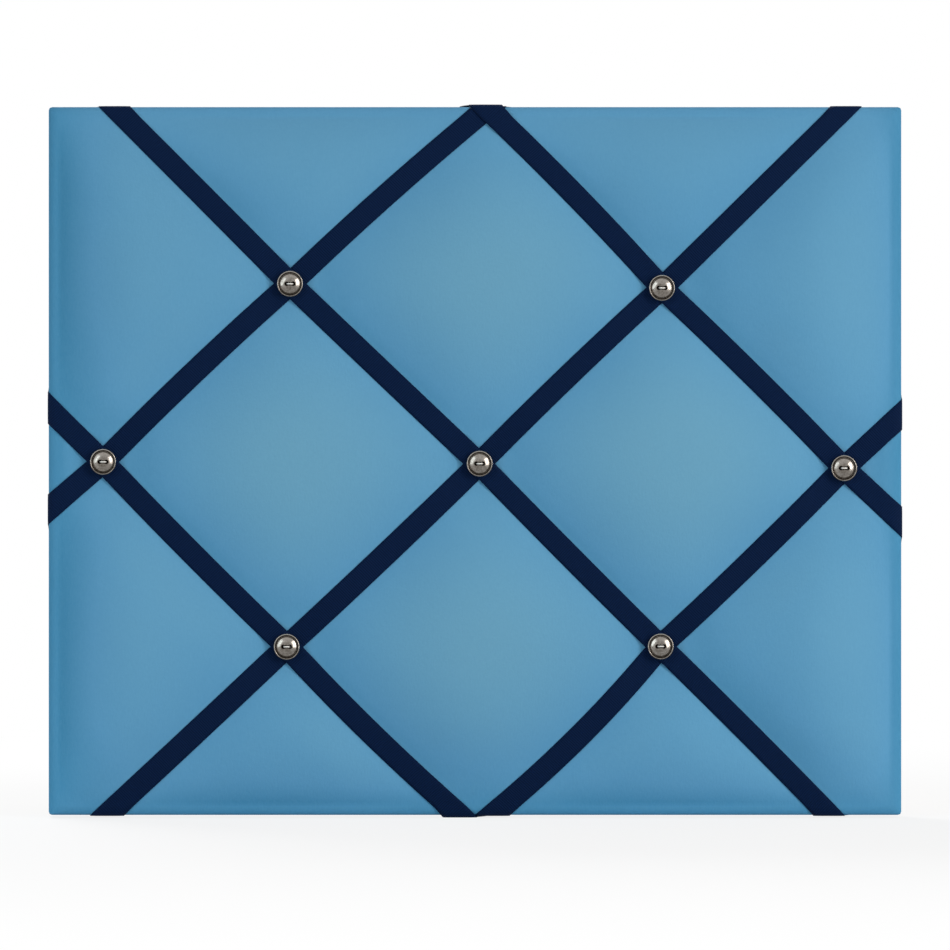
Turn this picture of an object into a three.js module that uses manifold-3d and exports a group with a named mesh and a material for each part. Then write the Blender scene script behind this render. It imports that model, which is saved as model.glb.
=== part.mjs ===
// French memo board: a padded, cloth-covered board with a lattice of ribbons held down by sewn buttons.
// Millimetres. Seen from the front, X runs right and Z up; Y runs back, towards the wall.
// The origin is the middle of the back panel's rear face.
import * as THREE from "three";
import { mergeVertices } from "three/addons/utils/BufferGeometryUtils.js";
import Module from "manifold-3d";

const wasm = await Module();
wasm.setup();
const { clamp, lerp } = THREE.MathUtils;

// Board and back panel
const BOARD_WIDTH = 330;
const BOARD_HEIGHT = 274;
const CORE_THICKNESS = 8;
const PANEL_THICKNESS = 1;
const PANEL_INSET = 8;
const PANEL_CELLS = 5;
const LAYER_GAP = 0.2;
const CUT_GAP = 0.3;

// Cloth cover and the batting under it
const COVER_THICKNESS = 0.5;
const COVER_MARGIN = 16;
const SIDE_LOFT = 1.5;
const ROLL_WIDTH = 4;
const ROLL_DEPTH = 2.2;
const ROLL_STEPS = 4;
const EDGE_REACH = 34;
const RIBBON_RISE = 2.3;
const PILLOW_CROWN = 8;
const PILLOW_REACH = 45;
const BUTTON_PULL = 2.5;
const PULL_REACH = 13;
const PULL_EASE = 0.3;

// Ribbon lattice
const RIBBON_WIDTH = 8.7;
const RIBBON_THICKNESS = 0.4;
const SIDE_BUTTON_INSET = 21;
const CROSSING_OVERHANG = 2.6;
const LATTICE_DROP = 1.8;
const WRAP_LEAN = 0.5;
const LAP_RAMP = 6;
const TAIL_STATIONS = [8, 14, 17, 22];
const TAIL_STAPLE_INSET = 19.5;
const TAIL_CLEARANCE = 2;

// Ribbons as pinned by hand. Drift is the sideways offset from the straight lattice line at stations
// -2, -1, 0, 1, 2 and bow the extra offset midway between them. Buttons sit where two ribbons cross.
const FIRST_STATION = -2;
const FALLING = [
  { name: "falling_ribbon_left", drift: [4.9, 1.2, -0.7, -0.5, -0.6], bow: [-1, -0.5, -1.4, 0] },
  { name: "falling_ribbon_middle", drift: [2.5, 0.7, 1.8, -0.2, -2], bow: [0.1, -0.1, -0.3, 0.4] },
  { name: "falling_ribbon_right", drift: [2.2, 2.3, -0.6, -1.6, -1], bow: [0, 0.9, 0.6, 0.4] },
];
const RISING = [
  { name: "rising_ribbon_left", drift: [-4, -0.9, 0, 4.4, 8], bow: [-0.9, -0.8, -0.9, 0] },
  { name: "rising_ribbon_middle", drift: [-2.2, -0.4, 0.7, 1, 0.1], bow: [0.2, 0.4, -0.7, 0] },
  { name: "rising_ribbon_right", drift: [0.4, 0.7, -0.1, -0.2, 2.1], bow: [0, 2.7, 0.6, -0.1] },
];

// Buttons at lattice crossings: name, rising ribbon, falling ribbon
const BUTTONS = [
  ["top_left", -1, 0],
  ["top_right", 0, 1],
  ["left", -1, -1],
  ["centre", 0, 0],
  ["right", 1, 1],
  ["bottom_left", 0, -1],
  ["bottom_right", 1, 0],
];
const BUTTON_DIAMETER = 10.1;
const BUTTON_HEIGHT = 2.3;
const BUTTON_BASE_HEIGHT = 1;
const BUTTON_BASE_INSET = 0.5;
const BUTTON_RIM_WIDTH = 0.6;
const BUTTON_RIM_DROP = 0.4;
const BUTTON_GROOVE_WIDTH = 0.6;
const BUTTON_GROOVE_DEPTH = 0.7;
const BUTTON_SEAT_MARGIN = 0.9;
const BUTTON_SEGMENTS = 16;
const DOME_STEPS = 3;
const FISH_EYE_LENGTH = 4.1;
const FISH_EYE_WIDTH = 1.3;
const FISH_EYE_DEPTH = 0.65;
const FISH_EYE_FACETS = [10, 6];
const STITCH_SPACING = 3.2;
const THREAD_DIAMETER = 0.6;
const THREAD_BEND = 0.5;
const THREAD_SEAT = 0.1;
const THREAD_SIDES = 5;
const STITCH_HOLE_SIDES = 6;
const KNOT_DIAMETER = 1.1;
const KNOT_FACETS = [6, 4];

// Staples: flat wire bent to a U, crown along the board's edge
const STAPLE_CROWN = 7;
const STAPLE_WIRE = 0.5;
const STAPLE_WIDTH = 0.9;
const STAPLE_LEG = 7;
const STAPLE_POINT = 0.6;
const STAPLE_SEAT = 0.1;
const PANEL_STAPLE_INSET = 5;

// Panel staples by distance from both ends of the panel's edge; a short edge has one in its middle too
const LONG_EDGE_STAPLES = [47, 107];
const SHORT_EDGE_STAPLES = [44];

// Hangers: a folded strap with a D-ring in its eye, screwed to the core
const HANGER_SPACING = 180;
const HANGER_DROP = 42;
const STRAP_WIDTH = 9.5;
const STRAP_LENGTH = 22;
const STRAP_SHEET = 0.8;
const EYE_CLEARANCE = 0.3;
const EYE_SEGMENTS = 14;
const RING_WIRE = 2;
const RING_INNER_WIDTH = 13;
const RING_STRAIGHT = 3;
const RING_CORNER = 1.5;
const RING_SEGMENTS = 30;
const RING_WIRE_SIDES = 8;
const SCREW_DROP = 16;
const SCREW_LENGTH = 9.5;
const SCREW_DIAMETER = 3;
const SCREW_POINT = 2;
const SCREW_HEAD_DIAMETER = 6.5;
const SCREW_HEAD_HEIGHT = 2;
const SCREW_SLOT_WIDTH = 0.9;
const SCREW_SLOT_LENGTH = 3.6;
const SCREW_SLOT_DEPTH = 1;
const SCREW_SIDES = 16;
const SCREW_HOLE_SIDES = 12;

// Layers from the wall forward
const LAP_LIFT = RIBBON_THICKNESS + LAYER_GAP;
const PANEL_FRONT = -PANEL_THICKNESS;
const TAIL_STACK = RIBBON_THICKNESS + Math.max(LAP_LIFT, STAPLE_SEAT + STAPLE_WIRE);
const WRAP_Y = PANEL_FRONT - LAYER_GAP - TAIL_STACK - LAYER_GAP;
const CORE_BACK = WRAP_Y - COVER_THICKNESS - LAYER_GAP;
const CORE_FRONT = CORE_BACK - CORE_THICKNESS;
const BATTING_BACK = CORE_FRONT - LAYER_GAP;
const SIDE_Y = CORE_FRONT - SIDE_LOFT;
const FACE_Y = SIDE_Y - ROLL_DEPTH;
const FACE_HALF_WIDTH = BOARD_WIDTH / 2 - ROLL_WIDTH;
const FACE_HALF_HEIGHT = BOARD_HEIGHT / 2 - ROLL_WIDTH;

const MATERIALS = {
  cloth: { color: 0x5a97bb, roughness: 0.9, metalness: 0 },
  batting: { color: 0xf1eee6, roughness: 1, metalness: 0 },
  fibreboard: { color: 0xa98b64, roughness: 0.85, metalness: 0 },
  card: { color: 0xb59c78, roughness: 0.9, metalness: 0 },
  ribbon: { color: 0x0f1f3c, roughness: 0.8, metalness: 0 },
  pewter: { color: 0x8f8a84, roughness: 0.35, metalness: 0.9 },
  thread: { color: 0xd6d2c8, roughness: 0.8, metalness: 0 },
  steel: { color: 0xb9bcbe, roughness: 0.3, metalness: 1 },
};

const board = new THREE.Group();

function addPart(name, geometry, material, position = [0, 0, 0]) {
  const mesh = new THREE.Mesh(geometry, new THREE.MeshStandardMaterial(MATERIALS[material]));
  mesh.name = name;
  mesh.position.set(...position);
  board.add(mesh);
}

// Closed solids for cutting and joining

function toSolid(geometry) {
  const bare = geometry.clone();
  bare.deleteAttribute("normal");
  bare.deleteAttribute("uv");
  const merged = mergeVertices(bare);
  const vertProperties = merged.attributes.position.array;
  const triVerts = new Uint32Array(merged.index.array);
  return new wasm.Manifold(new wasm.Mesh({ numProp: 3, vertProperties, triVerts }));
}

function toGeometry(solid) {
  const mesh = solid.getMesh();
  const geometry = new THREE.BufferGeometry();
  geometry.setAttribute("position", new THREE.BufferAttribute(mesh.vertProperties, 3));
  geometry.setIndex(new THREE.BufferAttribute(mesh.triVerts, 1));
  geometry.computeVertexNormals();
  return geometry;
}

function joinAll(geometries) {
  return geometries.map(toSolid).reduce((joined, solid) => joined.add(solid));
}

// Ribbon lattice: u counts rising ribbons from left to right, v counts falling ribbons from left to right

const PITCH_X = (BOARD_WIDTH / 2 - SIDE_BUTTON_INSET) / 2;
const PITCH_Z = (BOARD_HEIGHT / 2 + CROSSING_OVERHANG) / 2;
const LINE_SPACING = (2 * PITCH_X * PITCH_Z) / Math.hypot(PITCH_X, PITCH_Z);
const LINES = [-1, 0, 1];
const HALF_RIBBON = RIBBON_WIDTH / 2 / LINE_SPACING;
const BAY = 1 - 2 * HALF_RIBBON;
const BAY_DIVISIONS = [0.1, 0.32, 0.68, 0.9];
const OUTER_DIVISIONS = [0.1, 0.32, 0.68, 1.1, 1.65];

function ribbonDrift(ribbon, station) {
  const span = clamp(Math.floor(station) - FIRST_STATION, 0, ribbon.bow.length - 1);
  const along = station - FIRST_STATION - span;
  const straight = lerp(ribbon.drift[span], ribbon.drift[span + 1], along);
  return straight + ribbon.bow[span] * (1 - (2 * along - 1) ** 2);
}

function driftBetween(family, line, station) {
  const held = clamp(line, -1, 1);
  const low = held < 0 ? -1 : 0;
  const from = ribbonDrift(family[low + 1], station);
  const to = ribbonDrift(family[low + 2], station);
  return lerp(from, to, held - low) / LINE_SPACING;
}

function latticePlace(u, v) {
  const rising = u + driftBetween(RISING, u, v);
  const falling = v + driftBetween(FALLING, v, u);
  return [PITCH_X * (rising + falling), PITCH_Z * (falling - rising) - LATTICE_DROP];
}

function latticeLines() {
  const edges = LINES.flatMap((line) => [line - HALF_RIBBON, line + HALF_RIBBON]);
  const inner = BAY_DIVISIONS.flatMap((part) => [HALF_RIBBON - 1 + part * BAY, HALF_RIBBON + part * BAY]);
  const outer = OUTER_DIVISIONS.map((part) => 1 + HALF_RIBBON + part * BAY);
  return [...edges, ...inner, ...outer, ...outer.map((line) => -line)].sort((a, b) => a - b);
}

// Padded face: pillows between the ribbons, drawn in at the edges and pulled flat under each button

const BUTTON_SEAT = BUTTON_DIAMETER / 2 + BUTTON_SEAT_MARGIN;

function easeOut(distance, reach) {
  return 1 - (1 - clamp(distance / reach, 0, 1)) ** 2;
}

function heldBack(x, z) {
  const fromSide = easeOut(FACE_HALF_WIDTH - Math.abs(x), EDGE_REACH);
  return fromSide * easeOut(FACE_HALF_HEIGHT - Math.abs(z), EDGE_REACH);
}

function swell(offset) {
  return easeOut(Math.abs(offset) * LINE_SPACING - RIBBON_WIDTH / 2, PILLOW_REACH);
}

function pillowY({ x, z, u, v }) {
  const crown = LINES.reduce((rise, line) => rise * swell(u - line) * swell(v - line), PILLOW_CROWN);
  return FACE_Y - heldBack(x, z) * (RIBBON_RISE + crown);
}

const SEATS = BUTTONS.map(([name, u, v]) => {
  const [x, z] = latticePlace(u, v);
  return { name, u, v, x, z, floor: pillowY({ x, z, u, v }) + BUTTON_PULL };
});

function faceY(point) {
  let y = pillowY(point);
  for (const seat of SEATS) {
    const away = Math.max(0, Math.hypot(point.x - seat.x, point.z - seat.z) - BUTTON_SEAT);
    const ease = Math.min(1, heldBack(point.x, point.z) / PULL_EASE);
    y = lerp(y, seat.floor, ease * Math.exp(-((away / PULL_REACH) ** 2)));
  }
  return y;
}

// Keep the part of a polygon that lies on the padded face, inside the rolled edges
function clipToFace(polygon) {
  const limits = [
    (p) => FACE_HALF_WIDTH - p.x,
    (p) => FACE_HALF_WIDTH + p.x,
    (p) => FACE_HALF_HEIGHT - p.z,
    (p) => FACE_HALF_HEIGHT + p.z,
  ];
  return limits.reduce((kept, room) => kept.flatMap((p, i) => {
    const q = kept[(i + 1) % kept.length];
    const points = room(p) >= 0 ? [p] : [];
    if (room(p) * room(q) < 0) {
      const t = room(p) / (room(p) - room(q));
      const [x, z, u, v] = ["x", "z", "u", "v"].map((key) => lerp(p[key], q[key], t));
      points.push({ x, z, u, v });
    }
    return points;
  }), polygon);
}

function faceCells(uLines, vLines) {
  const cells = [];
  for (let i = 0; i + 1 < uLines.length; i += 1) {
    for (let j = 0; j + 1 < vLines.length; j += 1) {
      const corners = [[i, j], [i + 1, j], [i + 1, j + 1], [i, j + 1]].map(([a, b]) => {
        const [u, v] = [uLines[a], vLines[b]];
        const [x, z] = latticePlace(u, v);
        return { x, z, u, v };
      });
      const cell = clipToFace(corners);
      if (cell.length > 2) cells.push(cell);
    }
  }
  return cells;
}

// Board edges: outward direction, and the direction along the edge that keeps faces turned out
const SIDES = [
  { name: "top", out: [0, 1], along: [1, 0] },
  { name: "right", out: [1, 0], along: [0, -1] },
  { name: "bottom", out: [0, -1], along: [-1, 0] },
  { name: "left", out: [-1, 0], along: [0, 1] },
];
const ON_EDGE = 1e-6;

function halfExtent([across, up]) {
  return (Math.abs(across) * BOARD_WIDTH + Math.abs(up) * BOARD_HEIGHT) / 2;
}

function sidePoint(side, along, inset, y) {
  const reach = halfExtent(side.out) - inset;
  return [side.out[0] * reach + side.along[0] * along, y, side.out[1] * reach + side.along[1] * along];
}

function alongSide(side, point) {
  return point.x * side.along[0] + point.z * side.along[1];
}

// Points of the face cells that lie on one side of the face, in order along that side
function faceBorder(cells, side) {
  const limit = halfExtent(side.out) - ROLL_WIDTH;
  const onSide = cells.flat().filter((p) => {
    return Math.abs(p.x * side.out[0] + p.z * side.out[1] - limit) < ON_EDGE;
  });
  onSide.sort((p, q) => alongSide(side, p) - alongSide(side, q));
  return onSide.filter((p, i) => i === 0 || alongSide(side, p) - alongSide(side, onSide[i - 1]) > ON_EDGE);
}

// Section of the wrapped edge as [inset, y] pairs, some depth below the cover's outer face:
// round the padded roll, down the side and onto the back
function edgeSection(depth, backInsets) {
  const roll = Array.from({ length: ROLL_STEPS + 1 }, (_, step) => {
    const turn = (step / ROLL_STEPS) * (Math.PI / 2);
    const inset = ROLL_WIDTH - (ROLL_WIDTH - depth) * Math.sin(turn);
    return [inset, SIDE_Y - (ROLL_DEPTH - depth) * Math.cos(turn)];
  });
  return [...roll, ...[depth, ...backInsets].map((inset) => [inset, WRAP_Y - depth])];
}

// A closed sheet from polygons of outer and inner points, walled along every open edge
function thickSheet(polygons) {
  const triangles = [];
  const open = new Map();
  const key = (point) => point.outer.map((value) => value.toFixed(4)).join();
  for (const polygon of polygons) {
    for (let i = 1; i + 1 < polygon.length; i += 1) {
      const fan = [polygon[0], polygon[i], polygon[i + 1]];
      triangles.push(fan.map((p) => p.outer), fan.map((p) => p.inner).reverse());
    }
    polygon.forEach((p, i) => {
      const q = polygon[(i + 1) % polygon.length];
      if (!open.delete(`${key(q)} ${key(p)}`)) open.set(`${key(p)} ${key(q)}`, [p, q]);
    });
  }
  for (const [p, q] of open.values()) {
    triangles.push([p.outer, p.inner, q.inner], [p.outer, q.inner, q.outer]);
  }
  const geometry = new THREE.BufferGeometry();
  geometry.setAttribute("position", new THREE.Float32BufferAttribute(triangles.flat(2), 3));
  return geometry;
}

// A sheet that covers the face and follows the wrapped edge for a number of section steps
function wrappedSheet(facePoint, edgePoint, steps) {
  const cells = faceCells(latticeLines(), latticeLines());
  const polygons = cells.map((cell) => cell.map(facePoint));
  for (const side of SIDES) {
    const corner = (step, end) => edgePoint(side, step, end);
    for (let step = 0; step < steps; step += 1) {
      const border = faceBorder(cells, side).map(facePoint);
      const inner = step === 0 ? border : [corner(step, -1), corner(step, 1)];
      polygons.push([corner(step + 1, -1), ...inner, corner(step + 1, 1)]);
    }
  }
  return thickSheet(polygons);
}

function edgeCorner(side, [inset, y], end) {
  return sidePoint(side, end * (halfExtent(side.along) - inset), inset, y);
}

function coverSheet() {
  const outer = edgeSection(0, [COVER_MARGIN]);
  const inner = edgeSection(COVER_THICKNESS, [COVER_MARGIN]);
  const facePoint = (p) => ({
    outer: [p.x, faceY(p), p.z],
    inner: [p.x, faceY(p) + COVER_THICKNESS, p.z],
  });
  const edgePoint = (side, step, end) => ({
    outer: edgeCorner(side, outer[step], end),
    inner: edgeCorner(side, inner[step], end),
  });
  return wrappedSheet(facePoint, edgePoint, outer.length - 1);
}

function battingPad() {
  const depth = COVER_THICKNESS + LAYER_GAP;
  const outer = edgeSection(depth, []);
  const facePoint = (p) => ({
    outer: [p.x, faceY(p) + depth, p.z],
    inner: [p.x, BATTING_BACK, p.z],
  });
  const edgePoint = (side, step, end) => ({
    outer: edgeCorner(side, outer[step], end),
    inner: edgeCorner(side, [outer[step][0], BATTING_BACK], end),
  });
  return wrappedSheet(facePoint, edgePoint, ROLL_STEPS);
}

// Ribbons: falling ribbons lie over rising ones wherever they cross

function ribbonLines(ribbon) {
  const lines = latticeLines();
  const own = [ribbon.line - HALF_RIBBON, ribbon.line + HALF_RIBBON];
  return ribbon.falls ? [lines, own] : [own, lines];
}

function ribbonCentre(ribbon, station) {
  return ribbon.falls ? latticePlace(station, ribbon.line) : latticePlace(ribbon.line, station);
}

function crossingLift(station) {
  const ramp = BAY_DIVISIONS[0] * BAY;
  return Math.max(...LINES.map((line) => clamp(1 - (Math.abs(station - line) - HALF_RIBBON) / ramp, 0, 1)));
}

// Where a ribbon leaves the face over one side: centre and half width along that side at each section step.
// A tail near a corner leans less, so that it ends behind the panel.
function ribbonEnd(ribbon, cells, side) {
  const border = faceBorder(cells, side);
  const [first, last] = [border[0], border[border.length - 1]];
  const station = ribbon.falls ? (first.u + last.u) / 2 : (first.v + last.v) / 2;
  const onward = station + Math.sign(station) * HALF_RIBBON;
  const [[x0, z0], [x1, z1]] = [ribbonCentre(ribbon, station), ribbonCentre(ribbon, onward)];
  const step = { x: x1 - x0, z: z1 - z0 };
  const slope = alongSide(side, step) / (step.x * side.out[0] + step.z * side.out[1]);
  const start = (alongSide(side, first) + alongSide(side, last)) / 2;
  const wide = (alongSide(side, last) - alongSide(side, first)) / 2;
  const narrow = (RIBBON_WIDTH / 2) * Math.hypot(1, WRAP_LEAN);
  const edge = start + slope * ROLL_WIDTH;
  const reach = WRAP_Y - SIDE_Y + Math.max(...TAIL_STATIONS);
  const room = halfExtent(side.along) - PANEL_INSET - TAIL_CLEARANCE - narrow;
  const lean = (clamp(edge + Math.sign(slope) * WRAP_LEAN * reach, -room, room) - edge) / reach;
  const track = edgeSection(0, TAIL_STATIONS).map(([inset], k) => {
    if (k <= ROLL_STEPS) return { centre: start + slope * (ROLL_WIDTH - inset), half: wide };
    return { centre: edge + lean * (WRAP_Y - SIDE_Y + inset), half: narrow };
  });
  return { ribbon, side, border, track };
}

function lapLift(end, step, risingEnds) {
  const lifts = risingEnds.filter((other) => other.side === end.side).map((other) => {
    const [own, under] = [end.track[step], other.track[step]];
    const clear = Math.abs(own.centre - under.centre) - own.half - under.half;
    return clamp(1 - clear / LAP_RAMP, 0, 1);
  });
  return Math.max(0, ...lifts);
}

function ribbonSheet(ribbon, risingEnds) {
  const depthOf = (lift) => -(LAYER_GAP + lift * LAP_LIFT);
  const facePoint = (p) => {
    const inner = faceY(p) + depthOf(ribbon.falls ? crossingLift(p.u) : 0);
    return { outer: [p.x, inner - RIBBON_THICKNESS, p.z], inner: [p.x, inner, p.z] };
  };
  const polygons = ribbon.cells.map((cell) => cell.map(facePoint));
  for (const end of ribbon.ends) {
    const edgePoint = (step, sign) => {
      const { centre, half } = end.track[step];
      const depth = depthOf(ribbon.falls ? lapLift(end, step, risingEnds) : 0);
      const [inner, outer] = [depth, depth - RIBBON_THICKNESS].map((d) => {
        return sidePoint(end.side, centre + sign * half, ...edgeSection(d, TAIL_STATIONS)[step]);
      });
      return { outer, inner };
    };
    for (let step = 0; step + 1 < end.track.length; step += 1) {
      const near = step === 0 ? end.border.map(facePoint) : [edgePoint(step, -1), edgePoint(step, 1)];
      polygons.push([edgePoint(step + 1, -1), ...near, edgePoint(step + 1, 1)]);
    }
  }
  return thickSheet(polygons);
}

function laidRibbon(spec, index, falls) {
  const ribbon = { ...spec, line: LINES[index], falls };
  ribbon.cells = faceCells(...ribbonLines(ribbon));
  const crossed = SIDES.filter((side) => faceBorder(ribbon.cells, side).length > 1);
  ribbon.ends = crossed.map((side) => ribbonEnd(ribbon, ribbon.cells, side));
  return ribbon;
}

// Buttons and their threads

const SEAT_STACK = LAYER_GAP + RIBBON_THICKNESS + LAP_LIFT + LAYER_GAP;

// The button stands on the highest corner of the ribbon crossing below it
function buttonBase({ u, v }) {
  const corners = [[-1, -1], [1, -1], [1, 1], [-1, 1]].map(([a, b]) => {
    const [cornerU, cornerV] = [u + a * HALF_RIBBON, v + b * HALF_RIBBON];
    const [x, z] = latticePlace(cornerU, cornerV);
    return faceY({ x, z, u: cornerU, v: cornerV });
  });
  return Math.min(...corners) - SEAT_STACK;
}

// Two holes for the thread, reaching the same distance before and behind y = 0
function stitchHoles(reach) {
  const radius = THREAD_DIAMETER / 2 + CUT_GAP;
  return [-1, 1].map((side) => {
    const hole = new THREE.CylinderGeometry(radius, radius, 2 * reach, STITCH_HOLE_SIDES);
    return hole.translate((side * STITCH_SPACING) / 2, 0, 0);
  });
}

// Front of the button faces -Y and its base lies at y = 0
function buttonSolid() {
  const radius = BUTTON_DIAMETER / 2;
  const rim = BUTTON_HEIGHT - BUTTON_RIM_DROP;
  const rimInner = radius - BUTTON_RIM_WIDTH;
  const groove = rimInner - BUTTON_GROOVE_WIDTH / 2;
  const domeRadius = rimInner - BUTTON_GROOVE_WIDTH;
  const grooveFloor = rim - BUTTON_GROOVE_DEPTH;
  const profile = [];
  for (let step = 0; step <= DOME_STEPS; step += 1) {
    const across = (step / DOME_STEPS) * domeRadius;
    const fall = (BUTTON_HEIGHT - rim) * (across / domeRadius) ** 2;
    profile.push([across, BUTTON_HEIGHT - fall]);
  }
  profile.push([groove, grooveFloor], [rimInner, rim], [radius - BUTTON_RIM_WIDTH / 4, rim]);
  profile.push([radius, rim - BUTTON_RIM_WIDTH / 2], [radius, BUTTON_BASE_HEIGHT]);
  profile.push([radius - BUTTON_BASE_INSET, 0], [0, 0]);
  const points = profile.map(([across, height]) => new THREE.Vector2(across, -height));
  const body = new THREE.LatheGeometry(points, BUTTON_SEGMENTS);
  const fishEye = new THREE.SphereGeometry(1, ...FISH_EYE_FACETS);
  fishEye.scale(FISH_EYE_LENGTH / 2, FISH_EYE_DEPTH, FISH_EYE_WIDTH / 2).translate(0, -BUTTON_HEIGHT, 0);
  return toGeometry(toSolid(body).subtract(joinAll([fishEye, ...stitchHoles(2 * BUTTON_HEIGHT)])));
}

// A closed loop sampled at its own corner points
class PointLoop extends THREE.Curve {
  constructor(points) {
    super();
    this.points = points;
  }

  pointNear(t, step) {
    const count = this.points.length;
    return this.points[(Math.round(t * count) + step + count) % count].clone();
  }

  getPointAt(t) {
    return this.pointNear(t, 0);
  }

  getTangentAt(t) {
    return this.pointNear(t, 1).sub(this.pointNear(t, -1)).normalize();
  }
}

// Loop of thread through the button and everything under it, knotted behind the core
function threadLoop(base) {
  const half = STITCH_SPACING / 2;
  const front = base - BUTTON_HEIGHT + FISH_EYE_DEPTH - THREAD_DIAMETER / 2 - THREAD_SEAT;
  const back = CORE_BACK + KNOT_DIAMETER / 2 + THREAD_SEAT;
  const corners = [[half, front, 0], [half, back, 1], [-half, back, 2], [-half, front, 3]];
  const points = corners.flatMap(([x, y, quarter]) => [0, 1, 2].map((step) => {
    const turn = (quarter + step / 2) * (Math.PI / 2) - Math.PI / 2;
    const [inX, inY] = [x - Math.sign(x) * THREAD_BEND, y + (y === front ? 1 : -1) * THREAD_BEND];
    return new THREE.Vector3(inX + THREAD_BEND * Math.cos(turn), inY + THREAD_BEND * Math.sin(turn), 0);
  }));
  const path = new PointLoop(points);
  const loop = new THREE.TubeGeometry(path, points.length, THREAD_DIAMETER / 2, THREAD_SIDES, true);
  const knot = new THREE.SphereGeometry(KNOT_DIAMETER / 2, ...KNOT_FACETS).translate(0, back, 0);
  return toGeometry(joinAll([loop, knot]));
}

// Staples and hangers

// Crown along X with its underside at y = 0, legs towards -Y
function stapleSolid() {
  const half = STAPLE_CROWN / 2;
  const inner = half - STAPLE_WIRE;
  const outline = [
    [-half, STAPLE_POINT - STAPLE_LEG], [-half, STAPLE_WIRE], [half, STAPLE_WIRE],
    [half, STAPLE_POINT - STAPLE_LEG], [inner, -STAPLE_LEG], [inner, 0], [-inner, 0], [-inner, -STAPLE_LEG],
  ];
  const shape = new THREE.Shape(outline.map(([x, y]) => new THREE.Vector2(x, y)));
  const wire = new THREE.ExtrudeGeometry(shape, { depth: STAPLE_WIDTH, bevelEnabled: false });
  return wire.translate(0, 0, -STAPLE_WIDTH / 2);
}

function stapleLegHoles() {
  const size = [STAPLE_WIRE + 2 * CUT_GAP, STAPLE_LEG + CUT_GAP, STAPLE_WIDTH + 2 * CUT_GAP];
  const offset = (STAPLE_CROWN - STAPLE_WIRE) / 2;
  return [-1, 1].map((side) => new THREE.BoxGeometry(...size).translate(side * offset, -size[1] / 2, 0));
}

// Turn a staple's geometry so that its crown lies along the given side, and move it there
function onSide(geometry, { side, along, inset, y }) {
  const turned = side.out[0] === 0 ? geometry : geometry.rotateY(Math.PI / 2);
  return turned.translate(...sidePoint(side, along, inset, y));
}

function ribbonStaples(ribbon) {
  const y = WRAP_Y + LAYER_GAP + RIBBON_THICKNESS + STAPLE_SEAT;
  return ribbon.ends.map(({ side, track }) => {
    const [from, to] = [track[track.length - 2], track[track.length - 1]];
    const [near, far] = TAIL_STATIONS.slice(-2);
    const along = lerp(from.centre, to.centre, (TAIL_STAPLE_INSET - near) / (far - near));
    return { name: `${ribbon.name}_staple_${side.name}`, side, along, inset: TAIL_STAPLE_INSET, y };
  });
}

function panelStaples() {
  const inset = PANEL_INSET + PANEL_STAPLE_INSET;
  return SIDES.flatMap((side) => {
    const isLong = side.out[0] === 0;
    const half = halfExtent(side.along) - PANEL_INSET;
    const ends = (isLong ? LONG_EDGE_STAPLES : SHORT_EDGE_STAPLES).map((fromEnd) => half - fromEnd);
    const middle = isLong ? [] : [0];
    const places = [...ends.map((along) => -along), ...middle, ...ends.toReversed()];
    return places.map((along, i) => ({
      name: `panel_staple_${side.name}_${i + 1}`, side, along, inset, y: STAPLE_SEAT,
    }));
  });
}

const EYE_RADIUS = RING_WIRE / 2 + EYE_CLEARANCE;
const EYE_OUTER = EYE_RADIUS + STRAP_SHEET;
const HINGE_Y = LAYER_GAP + EYE_OUTER;
const HINGE_Z = BOARD_HEIGHT / 2 - HANGER_DROP;
const STRAP_REAR = LAYER_GAP + 2 * STRAP_SHEET;

// Sheet folded round the ring's bar: the eye is centred on the origin, the tail hangs towards -Z
function strapSolid() {
  const [front, rear] = [LAYER_GAP - HINGE_Y, STRAP_REAR - HINGE_Y];
  const shape = new THREE.Shape();
  shape.moveTo(-STRAP_LENGTH, front);
  shape.lineTo(0, front);
  shape.absarc(0, 0, EYE_OUTER, -Math.PI / 2, Math.PI + Math.asin(-rear / EYE_OUTER), false);
  shape.lineTo(-STRAP_LENGTH, rear);
  shape.holes.push(new THREE.Path().absarc(0, 0, EYE_RADIUS, 0, 2 * Math.PI, true));
  const folded = { depth: STRAP_WIDTH, bevelEnabled: false, curveSegments: EYE_SEGMENTS };
  const strip = new THREE.ExtrudeGeometry(shape, folded);
  const turned = new THREE.Matrix4().makeBasis(
    new THREE.Vector3(0, 0, 1), new THREE.Vector3(0, 1, 0), new THREE.Vector3(-1, 0, 0),
  );
  strip.translate(0, 0, -STRAP_WIDTH / 2).applyMatrix4(turned);
  const hole = screwHole().translate(0, -HINGE_Y, -SCREW_DROP);
  return toGeometry(toSolid(strip).subtract(toSolid(hole)));
}

function screwHole() {
  const radius = SCREW_DIAMETER / 2 + CUT_GAP;
  const depth = SCREW_LENGTH + CUT_GAP;
  const hole = new THREE.CylinderGeometry(radius, radius, depth, SCREW_HOLE_SIDES);
  return hole.translate(0, STRAP_REAR + LAYER_GAP - depth / 2, 0);
}

// D-shaped wire in the XZ plane with its straight bar on the X axis
function ringSolid() {
  const half = (RING_INNER_WIDTH + RING_WIRE) / 2;
  const outline = new THREE.Path();
  outline.moveTo(0, 0);
  outline.lineTo(half - RING_CORNER, 0);
  outline.absarc(half - RING_CORNER, RING_CORNER, RING_CORNER, -Math.PI / 2, 0, false);
  outline.absarc(0, RING_STRAIGHT, half, 0, Math.PI, false);
  outline.absarc(RING_CORNER - half, RING_CORNER, RING_CORNER, Math.PI, 1.5 * Math.PI, false);
  outline.closePath();
  const points = outline.getSpacedPoints(RING_SEGMENTS).slice(0, RING_SEGMENTS);
  const bar = points.map(({ x, y }) => new THREE.Vector3(x, 0, y));
  return new THREE.TubeGeometry(new PointLoop(bar), RING_SEGMENTS, RING_WIRE / 2, RING_WIRE_SIDES, true);
}

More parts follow.
